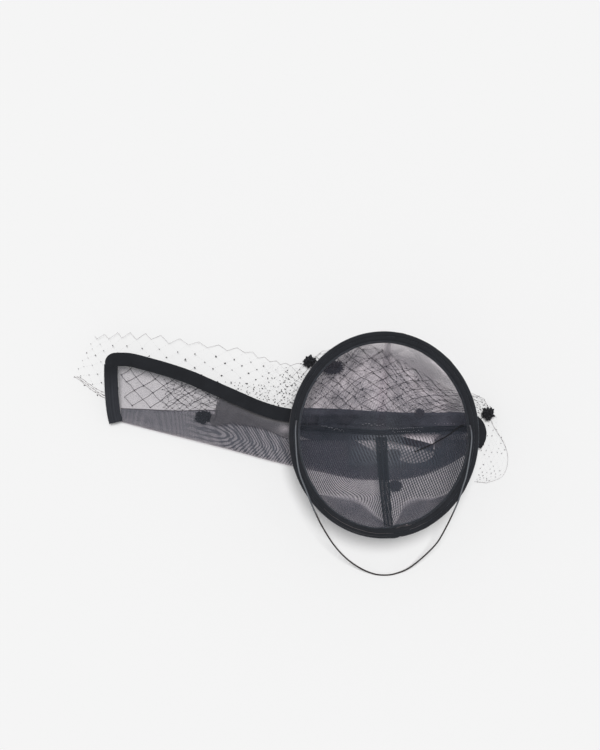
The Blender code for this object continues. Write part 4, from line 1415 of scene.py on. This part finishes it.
class HEADPIECE_OT_seams(bpy.types.Operator):
    """The tapes over the crown's seams"""

    bl_idname = "headpiece.seams"
    bl_label = "Seam tapes"

    def execute(self, context):
        left, right = math.radians(SEAMS["left"]), math.radians(SEAMS["right"])
        top = band_turn() - (GAP + TAPE) / CROWN_A
        count = 60
        turns = [top * k / count for k in range(count + 1)]
        places = [(left, turn) for turn in reversed(turns[1:])] + [(right, turn) for turn in turns]
        widths = [SEAM_WIDTH] * len(places)
        obj = self.tape("cross_seam_tape", places, widths, Vector((0, 1, 0)), "seam_tape")
        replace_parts(obj, "cross_seam")
        start = (SEAM_WIDTH / 2 + 2 * GAP) / CROWN_B
        turns = [start + (top - start) * k / count for k in range(count + 1)]
        for side, width in (("back", BACK_TAPE_WIDTH), ("front", FRONT_TAPE_WIDTH)):
            places = [(math.radians(SEAMS[side]), turn) for turn in turns]
            widths = [width * (1 + (TAPE_TAPER - 1) * turn) for turn in turns]
            obj = self.tape(side + "_tape", places, widths, Vector((1, 0, 0)), side + "_tape")
            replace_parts(obj, side + "_seam_tape")
        self.dashes()
        return {"FINISHED"}

    def dashes(self):
        """Short pale dashes beside the cross seam."""
        chance = random.Random(3)
        inward = -(CLOTH / 2 + SEAT + TAPE + GAP)
        shape = Shape()
        for row in SEAM_DASHES:
            for k in range(row["count"]):
                share = (k + chance.uniform(-0.2, 0.2)) / row["count"]
                x, y = (a + (b - a) * share for a, b in zip(row["from"], row["to"]))
                y += chance.uniform(-0.0008, 0.0008)
                line = [on_crown(x + row["long"] * s, y, inward) for s in (-0.5, 0.0, 0.5)]
                shape.tube(line, row["thick"] * chance.uniform(0.6, 1.1), 4)
        shape.piece("cross_seam_pale_dashes", "dash_thread")

    def tape(self, name, places, widths, across, look):
        """A tape laid along places of the crown, a little bowed and crumpled."""
        inward = -(CLOTH / 2 + SEAT + TAPE / 2)
        rows = []
        for (bearing, turn), width in zip(places, widths):
            middle = crown_point(bearing, turn, inward)
            row = []
            for s in range(9):
                side = s / 4 - 1
                p = middle + across * width / 2 * side * (1 + 0.03 * ripple(turn * 40, side))
                lift = 0.0002 * (1 - side * side) + 0.00012 * ripple(turn * 60, side * 2)
                row.append(on_crown(p.x, p.y, inward - lift))
            rows.append(row)
        long = length_of([row[4] for row in rows])
        shape = Shape()
        shape.grid(rows, lambda k, s: (s / 4 - 1, long * k / (len(rows) - 1)))
        obj = shape.piece(name, look)
        wide = sum(widths) / len(widths)
        wide * long
        return obj


class HEADPIECE_OT_bow(bpy.types.Operator):
    """The bow's folded sheer with its opening, its velvet binding, its loose layers and its waist"""

    bl_idname = "headpiece.bow"
    bl_label = "Bow"

    def execute(self, context):
        self.wing(context.scene.headpiece_bow.hem / 2)
        self.bindings()
        self.layer(
            "bow_lining", "bow_inner_layer", LINING, "lining_sheer", flat=(0.028, 0.074), area=0.00175
        )
        self.layer(
            "bow_right_sheer", "bow_right_layer", RIGHT_LAYER, "right_sheer",
            flat=(0.028, 0.031), area=0.00070,
        )
        self.waist(context.scene.headpiece_bow)
        return {"FINISHED"}

    def section(self, place):
        """The points of the folded sheer across the bow: over the top, round the fold, and under."""
        row = bow_row(place)
        x, radius = row["x"], row["round"]
        turn_y = row["fold"] + radius
        top = row["lift"] + 2 * radius
        points = []
        for k in range(WING_TOP):
            share = k / WING_TOP
            sag = WING_SAG * (row["rise"] - top) * math.sin(math.pi * share)
            swell = 0.0006 * ripple(x * 70, share * 5) * math.sin(math.pi * share)
            y = row["edge"] + (turn_y - row["edge"]) * share
            points.append(Vector((x, y, row["rise"] + (top - row["rise"]) * share - sag + swell)))
        for k in range(WING_FOLD):
            a = math.pi / 2 + math.pi * k / (WING_FOLD - 1)
            y = turn_y + radius * math.cos(a)
            points.append(Vector((x, y, row["lift"] + radius + radius * math.sin(a))))
        for k in range(1, WING_UNDER + 1):
            y = turn_y + (row["end"] - turn_y) * k / WING_UNDER
            points.append(Vector((x, y, row["lift"])))
        return points

    def wing(self, hem):
        steps = 260
        rows = [self.section(k / steps) for k in range(steps + 1)]
        folds = [bow_row(k / steps)["fold"] for k in range(steps + 1)]
        along = [[0.0] for _ in rows]
        for row, far in zip(rows, along):
            for a, b in zip(row, row[1:]):
                far.append(far[-1] + (b - a).length)

        def place(k, s):
            return (rows[k][s].x, along[k][s])

        def spots(k, s):
            """Stripes across the wing, bent at its middle, that turn along it further left."""
            p = rows[k][s]
            right = STRIPE_TURN_SPAN * math.log(1 + math.exp((p.x - STRIPE_TURN) / STRIPE_TURN_SPAN))
            bend = math.hypot(p.y - folds[k] - STRIPE_MIDDLE, STRIPE_ROUND)
            wander = 0.0007 * ripple(p.x * 130, p.y * 160) + 0.0004 * ripple(p.x * 400, p.y * 500)
            return ((right + 0.72 * bend + wander) / WING_STRIPE, p.y / 0.021 + p.x / 0.009)

        def strength(k, s):
            x = rows[k][s].x
            lines = 0.55 * ease(x, *STRIPES_FAINT) + 1.15 * ease(x, *STRIPES_FULL)
            return ease(s, *UNDERSIDE) * lines * (1 - 0.95 * ease(x, *STRIPES_END))

        def under(k, s):
            x = rows[k][s].x
            left, inside = 1 - ease(x, *DENSE_LEFT), ease(x, *UNDER_CROWN)
            thinner = between(x, THINNER, UNDER_CROWN)
            return ease(s, *UNDERSIDE) * (1 + 0.75 * left - 0.35 * thinner + 1.6 * inside)

        shape = Shape()
        shape.grid(rows, place, spots, {"under": under, "spot_strength": strength})
        self.cut_opening(shape)
        obj = shape.piece("bow_sheer", "bow_sheer", merge=MERGE)
        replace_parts(obj, "bow_wing")

        shape = Shape()
        shape.tube([row[-1] + Vector((0, 0, hem)) for row in rows[: int(steps * 0.72) : 2]], hem, 6)
        shape.piece("bow_hem", "net_thread")

    def cut_opening(self, shape):
        """Takes out what lies in the leaf-shaped opening and draws the cut's edge onto its line."""
        outline = smooth_line([(*p, 0.0) for p in (*BOW_OPENING, BOW_OPENING[0])], 120)

        def inside(x, y):
            odd = False
            for a, b in zip(outline, outline[1:]):
                if (a.y > y) != (b.y > y) and x < (b.x - a.x) * (y - a.y) / (b.y - a.y) + a.x:
                    odd = not odd
            return odd

        left, right = (side(p.x for p in outline) for side in (min, max))
        back, front = (side(p.y for p in outline) for side in (min, max))
        kept, places, spots, loose = [], [], [], set()
        for face, place, spot in zip(shape.faces, shape.map, shape.spots):
            x, y = (sum(shape.points[k][axis] for k in face) / 4 for axis in (0, 1))
            if left < x < right and back < y < front and inside(x, y):
                loose.update(face)
                continue
            kept.append(face)
            places.append(place)
            spots.append(spot)
        used = {k for face in kept for k in face}
        for k in loose & used:
            p = Vector((*shape.points[k][:2], 0))
            near = min(outline, key=lambda q: (q - p).length)
            if (near - p).length < 0.0015:
                shape.points[k] = (near.x, near.y, shape.points[k][2])
        order = {old: new for new, old in enumerate(sorted(used))}
        shape.points = [shape.points[k] for k in sorted(used)]
        shape.faces = [[order[k] for k in face] for face in kept]
        shape.map, shape.spots = places, spots
        shape.values = {name: [row[k] for k in sorted(used)] for name, row in shape.values.items()}

    def ribbon(self, name, line, width, thickness, look, corner=0.0, sides=24):
        """Velvet of oval section along a line. corner rounds off the outer side of its first end."""
        rings = []
        count, run = len(line), 0.0
        for k, p in enumerate(line):
            before = line[max(k - 1, 0)]
            run += (p - before).length
            along = line[min(k + 1, count - 1)] - before
            across = Vector((0, 0, 1)).cross(along).normalized()
            up = along.cross(across).normalized()
            short = corner - math.sqrt(max(corner**2 - max(corner - run, 0) ** 2, 0))
            end = ease(min(k, count - 1 - k) / count, -0.01, 0.012)
            ring = []
            for s in range(sides):
                a = 2 * math.pi * (s + 0.5) / sides
                rough = 0.010 * ripple(run * 700, s) + 0.016 * ripple(run * 2600, s * 2.0)
                x = width / 2 * (1 + rough) * math.copysign(abs(math.cos(a)) ** OVAL, math.cos(a))
                x = (x + width / 2) * (1 - short / width) - width / 2
                z = thickness / 2 * end * math.copysign(abs(math.sin(a)) ** OVAL, math.sin(a))
                z *= 0.9 + 0.10 * math.cos(3 * math.pi * x / width) + 0.05 * ripple(run * 260, x * 900)
                ring.append(p + across * x + up * z)
            rings.append(ring)
        shape = Shape()
        shape.rings(rings, spacing=run / (count - 1))
        return shape.piece(name, look, angle=60)

    def bindings(self):
        velvet_size = (BINDING_WIDTH, BINDING_THICKNESS)
        edge = place_line(BOUND_EDGE_START + BINDING_LINE[7:], 420)
        obj = self.ribbon("bow_velvet_binding", edge, *velvet_size, "bow_velvet", BINDING_CORNER)
        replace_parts(obj, "bow_binding")
        post = place_line(BINDING_LINE[:4] + POST_TOP, 110)
        self.ribbon("bow_end_binding", post, *velvet_size, "post_velvet")
        strap = place_line(STRAP_LINE, 60)
        obj = self.ribbon("bow_bound_edge", strap, STRAP_WIDTH, STRAP_THICKNESS, "bow_velvet")
        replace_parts(obj, "bow_strap")

    def layer(self, name, node, rows, look, flat, area):
        """A loose layer of sheer, thinner along its edges."""
        steps, across = 60, 20
        grid = []
        for k in range(steps + 1):
            row = read_table(rows, k / steps)
            x = reach(row["x"], BOW_LEFT, BOW_RIGHT)
            line = []
            for s in range(across + 1):
                share = s / across
                y, z = (
                    row["front" + end] + (row["back" + end] - row["front" + end]) * share
                    for end in ("", "_z")
                )
                swell = 0.0005 * ripple(x * 300, share * 4) * math.sin(math.pi * share)
                line.append(Vector((x, y * BOW_WIDTH, z * BOW_LOFT + swell)))
            grid.append(line)

        def fade(k, s):
            side = min(s, across - s) / across
            hole = patch(grid[k][s].x, grid[k][s].y, HOLE_MIDDLE, HOLE_SIZE)
            return ease(side, -0.04, 0.10) * ease(k / steps, -0.01, 0.03) * (1 - 0.85 * hole)

        shape = Shape()
        shape.grid(grid, lambda k, s: (grid[k][s].x * 1.2, grid[k][s].y), values={"fade": fade})
        obj = shape.piece(name, look)
        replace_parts(obj, node)

    def waist(self, sizes):
        """The gathered waist: flat underneath, pleated on top, its pleats wandering along it."""
        steps, tops = 150, 48
        rings = []
        for k in range(steps + 1):
            row = read_table(WAIST_SECTIONS, k / steps)
            x = reach(row["at"], WAIST_LEFT, WAIST_RIGHT)
            front, back = row["front"] * WAIST_WIDTH, row["back"] * WAIST_WIDTH
            back += WAIST_BACK * (between(row["at"], *WAIST_NARROWER) - between(row["at"], *WAIST_WIDER))
            height = row["height"] * WAIST_HEIGHT
            corner, foot = WAIST_CORNER * height, WAIST_FOOT * height
            points = [(front - foot, 0.0), (front, foot), (front, height - corner)]
            for s in range(tops + 1):
                share = s / tops
                y = (front - corner) + (back - front + 2 * corner) * share
                wander = share + 0.05 * ripple(x * 45, share * 2)
                fall = sizes.pleat_depth * (0.5 - 0.5 * math.cos(2 * math.pi * sizes.pleats * wander))
                points.append((y, height - fall * math.sin(math.pi * share) ** 0.3))
            points += [(back, height - corner), (back, foot), (back + foot, 0.0)]
            rings.append([Vector((x, y, z)) for y, z in points])
        shape = Shape()
        shape.rings(rings)
        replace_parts(shape.piece("bow_velvet_waist", "bow_velvet", angle=50), "bow_waist")


class HEADPIECE_OT_veil(bpy.types.Operator):
    """The net veil: its film, its threads, its knots and its zigzag edge"""

    bl_idname = "headpiece.veil"
    bl_label = "Veil"

    def execute(self, context):
        steps, across = 160, 24
        grid = [[veil_point(k / steps, s / across) for s in range(across + 1)] for k in range(steps + 1)]

        def gather(k, s):
            row = read_table(VEIL_THREADS, k / steps)
            return max(0.0, row["gather"]) * (1 - ease(s / across, 0.86, 1.0))

        shape = Shape()
        shape.grid(grid, lambda k, s: (grid[k][s].x, grid[k][s].y), values={"gather": gather})
        ground = shape.piece("veil_film", "net_ground")
        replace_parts(ground, "veil_net")

        threads, knots, edge = Shape(), Shape(), Shape()
        chance = random.Random(11)
        for row in NETS:
            self.net(threads, knots, edge if row is NETS[0] else None, row, chance)
        self.loose_ends(edge, chance)
        pieces = [
            threads.piece("veil_threads", "net_thread"),
            knots.piece("veil_knots", "net_thread"),
            edge.piece("veil_zigzag_edge", "edge_thread"),
        ]
        return {"FINISHED"}

    def net(self, threads, knots, edge, net, chance):
        """Diamonds over a stretch of the veil, with a knot at each crossing."""
        wide, high = 2 * net["columns"], 2 * net["rows"]
        free = net["loose"]
        places = {}
        for i in range(wide + 1):
            for j in range(i % 2, high + 1, 2):
                u = net["from"] + (net["to"] - net["from"]) * (i + chance.uniform(-free, free)) / wide
                down = j + chance.uniform(-free, free) * (0 < j < high)
                if edge is not None and j == high - 1:
                    down += 0.15 + 0.35 * ease(u, *ZIGZAG_FLATTER)
                v = net["low"] + (net["high"] - net["low"]) * down / high
                u = min(max(u, 0.0), 1.0)
                p = veil_point(u, v)
                p.z += net["lift"] * chance.uniform(0.2, 1.0)
                row = read_table(VEIL_THREADS, u)
                under = self.under_wing(p)
                thread = (row["thread"] + (UNDER_WING_THREAD - row["thread"]) * under) * net["thread"]
                knot = (row["knot"] + (UNDER_WING_KNOT - row["knot"]) * under) * net["knot"]
                places[i, j] = (p, thread, knot)
        for (i, j), (p, thread, knot) in places.items():
            for step in (1, -1):
                if (i + 1, j + step) not in places:
                    continue
                q = places[i + 1, j + step][0]
                border = edge is not None and high in (j, j + step)
                radius = settings("veil").edge_thread if border else thread
                bend = Vector((chance.uniform(-1, 1), chance.uniform(-1, 1), 0)) * (q - p).length * 0.06
                line = [p, (p + q) / 2 + bend * (not border), q]
                (edge if border else threads).tube(line, max(radius, FINEST_THREAD), 3)
            if (edge is not None and j >= high - 1) or self.left_out(net, p, chance):
                continue
            knot *= chance.uniform(0.7, 1.3)
            angle = chance.uniform(0, math.pi)
            first = Vector((math.cos(angle), math.sin(angle), 0)) * knot * net["long"]
            second = Vector((-math.sin(angle), math.cos(angle), 0)) * knot * 0.75
            knots.ball(p, (first, second, Vector((0, 0, knot * 0.6))))

    def left_out(self, net, p, chance):
        """Whether a crossing has no knot: many at the right end, and the more the further out."""
        if net["from"] > RIGHT_END:
            return chance.random() < 0.45
        if net["loose"] > LOOSEST:
            return chance.random() > ease(p.x, -0.112, -0.084) * (1.12 - p.y / 0.058)
        return False

    def under_wing(self, p):
        if not -BOW_LEFT < p.x < -WAIST_LEFT:
            return 0.0
        edge = find_row(BOW_SECTIONS, "at", p.x / BOW_LEFT)["edge"] * BOW_WIDTH
        return 1 - ease(p.y, edge + 0.004, edge + 0.009)

    def loose_ends(self, edge, chance):
        """The thread round the veil's right end, and the strands that lie together at its left tip."""
        above, count = Vector((0, 0, VEIL_FLOAT)), 61
        line = [veil_point(0.74 + 0.26 * k / (count - 1), VEIL_BORDER) + above for k in range(count)]
        for p in line:
            p.x -= INDENT_DEPTH * bell(p.y - INDENT_Y, INDENT_SIZE) * ease(p.x, *INDENT_FROM)
        edge.tube(line, [EDGE_THREAD + 0.00012 * (8 < k < 26 and k % 3 == 0) for k in range(count)], 4)
        edge.tube([veil_point(1.0, VEIL_BORDER * k / 20) + above for k in range(21)], 0.00010, 4)
        for strand in range(3):
            start, low, count = 0.006 * strand, 0.02 + 0.030 * strand, 48
            line = []
            for k in range(12):
                p = veil_point(start + 0.075 * k / 11, low + chance.uniform(-0.010, 0.010))
                line.append(p + Vector((0, 0, 0.0004 + 0.0004 * strand)))
            sizes = [EDGE_THREAD + 0.00026 * (k % 7 == 2) + 0.00010 * (k > 34) for k in range(count)]
            edge.tube(smooth_line(line, count), sizes, 4)


class HEADPIECE_OT_tufts(bpy.types.Operator):
    """The chenille tufts: fat locks and thin hairs round a head"""

    bl_idname = "headpiece.tufts"
    bl_label = "Tufts"

    def execute(self, context):
        sizes = context.scene.headpiece_tuft
        chance = random.Random(5)
        for row in TUFTS:
            low, high = (Vector(corner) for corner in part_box(row["name"]))
            middle, half = (low + high) / 2, (high - low) / 2
            half.x *= row["spread"]
            half.y *= 1 + (row["spread"] - 1) * 0.3
            shape = Shape()
            sets = OPEN_LOCKS if row["free"] else COVERED_LOCKS
            for count, (share, far, thick) in zip((sizes.locks, sizes.hairs), sets):
                self.locks(shape, int(count * share), far, thick, chance)
            squash = Matrix.Diagonal(half)
            shape.points = [tuple(middle + squash @ Vector(p)) for p in shape.points]
            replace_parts(shape.piece(row["name"] + "_chenille", row["look"]), row["name"])
        return {"FINISHED"}

    def locks(self, shape, count, far, thick, chance):
        """Tapered locks from the middle of a ball of radius 1, spread evenly over it."""
        for k in range(count):
            z = 1 - 2 * (k + 0.5) / count
            turn = k * math.pi * (3 - math.sqrt(5)) + chance.uniform(-0.2, 0.2)
            wide = math.sqrt(1 - z * z)
            out = Vector((wide * math.cos(turn), wide * math.sin(turn), z))
            side = out.orthogonal().normalized() * chance.uniform(-0.18, 0.18)
            long = far * chance.uniform(0.80, 1.0)
            line = [out * 0.15, *(out * long * at + side * bent for at, bent, _ in LOCK)]
            shape.tube(line, [thick * 0.5, *(thick * size for _, _, size in LOCK)], 5)


class HEADPIECE_OT_elastic(bpy.types.Operator):
    """The round elastic, its thin loose tail, and the stitches that hold its ends"""

    bl_idname = "headpiece.elastic"
    bl_label = "Elastic"

    def execute(self, context):
        wide, long = RIM_WIDTH / 2, RIM_LENGTH / 2
        loop = [(row["x"] * wide, row["y"] * long, row["z"] * RIM_TOP) for row in ELASTIC_ROUTE]
        line = smooth_line(loop, 420)
        self.cord("elastic_cord", "elastic", "elastic_loop", line, ELASTIC, 14, "object")
        inward = -(CLOTH / 2 + SEAT + TAPE + 2 * GAP + ELASTIC_TAIL / 2)
        tail = smooth_line([on_crown(row["x"] * wide, row["y"] * long, inward) for row in TAIL_ROUTE], 120)
        self.cord("elastic_thin_tail", "tail_elastic", "elastic_tail", tail, ELASTIC_TAIL, 10, "bare")
        self.stitches((line[0], line[6]), (line[-1], line[-7]))
        return {"FINISHED"}

    def cord(self, name, look, node, line, diameter, sides, far_end):
        shape = Shape()
        shape.tube(line, diameter / 2, sides)
        obj = shape.piece(name, look)
        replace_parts(obj, node)
        tuple(line[0])
        round(length_of(line), 4)

    def stitches(self, *ends):
        """A few turns of thread over each end of the elastic."""
        shape = Shape()
        for end, after in ends:
            along = (after - end).normalized()
            across = Vector((0, 0, 1)).cross(along).normalized()
            for k in range(6):
                middle = end + along * (2 * GAP + ELASTIC_STITCH_STEP * k)
                line = []
                for a in (math.pi * s / 8 for s in range(9)):
                    above = Vector((0, 0, ELASTIC_STITCH_HIGH * math.sin(a)))
                    line.append(middle + across * ELASTIC_STITCH_WIDE * math.cos(a) + above)
                shape.tube(line, ELASTIC_STITCH, 5)
        shape.piece("elastic_stitches", "net_thread")


class HEADPIECE_OT_stage(bpy.types.Operator):
    """The floor, the studio light and the camera"""

    bl_idname = "headpiece.stage"
    bl_label = "Stage"

    def execute(self, context):
        scene = context.scene
        bpy.ops.object.select_all(action="DESELECT")
        bpy.ops.mesh.primitive_plane_add(size=FLOOR_SIDE, location=(0, 0, -FLOOR_DROP))
        floor = context.active_object
        bpy.ops.object.transform_apply(location=True, rotation=True, scale=True)
        floor.name = "floor"
        floor.data.materials.append(finish("floor_paper").material)

        world = bpy.data.worlds.new("studio")
        scene.world = world
        world.use_nodes = True
        background = world.node_tree.nodes["Background"].inputs
        background["Color"].default_value = (1, 1, 1, 1)
        background["Strength"].default_value = SKY_STRENGTH

        light = bpy.data.lights.new("key", "SUN")
        light.energy = KEY_STRENGTH
        light.angle = math.radians(KEY_WIDTH)
        key = bpy.data.objects.new("key", light)
        key.rotation_euler = [math.radians(tilt) for tilt in KEY_TILT]
        scene.collection.objects.link(key)

        camera = bpy.data.cameras.new("camera")
        camera.lens = 85
        camera.sensor_width = 36
        camera.clip_start = 0.1
        camera.clip_end = 20
        eye = bpy.data.objects.new("camera", camera)
        eye.location = EYE
        scene.collection.objects.link(eye)
        scene.camera = eye
        scene.view_settings.view_transform = "Standard"
        scene.view_settings.look = "None"
        scene.cycles.transparent_max_bounces = 32
        return {"FINISHED"}


class HEADPIECE_PT_panel(bpy.types.Panel):
    """Sizes, colours and steps of the headpiece"""

    bl_idname = "HEADPIECE_PT_panel"
    bl_label = "Headpiece"
    bl_space_type = "VIEW_3D"
    bl_region_type = "UI"
    bl_category = "Headpiece"

    def draw(self, context):
        for key in GROUPS:
            box = self.layout.box()
            group = getattr(context.scene, key)
            for name in group.__annotations__:
                box.prop(group, name)
        for operator in OPERATORS:
            self.layout.operator(operator.bl_idname)


GROUPS = {
    "headpiece_cap": CapSizes,
    "headpiece_bow": BowSizes,
    "headpiece_veil": VeilSizes,
    "headpiece_tuft": TuftSizes,
    "headpiece_colours": Colours,
}
OPERATORS = (
    HEADPIECE_OT_stage,
    HEADPIECE_OT_elastic,
    HEADPIECE_OT_crown,
    HEADPIECE_OT_rim,
    HEADPIECE_OT_seams,
    HEADPIECE_OT_bow,
    HEADPIECE_OT_veil,
    HEADPIECE_OT_tufts,
)


def register():
    for cls in (*GROUPS.values(), *OPERATORS, HEADPIECE_PT_panel):
        bpy.utils.register_class(cls)
    for key, group in GROUPS.items():
        setattr(bpy.types.Scene, key, PointerProperty(type=group))


def unregister():
    for key in GROUPS:
        delattr(bpy.types.Scene, key)
    for cls in (HEADPIECE_PT_panel, *reversed(OPERATORS), *reversed(tuple(GROUPS.values()))):
        bpy.utils.unregister_class(cls)


def main():
    register()
    for operator in OPERATORS:
        group, name = operator.bl_idname.split(".")
        getattr(getattr(bpy.ops, group), name)()


if __name__ == "__main__":
    main()
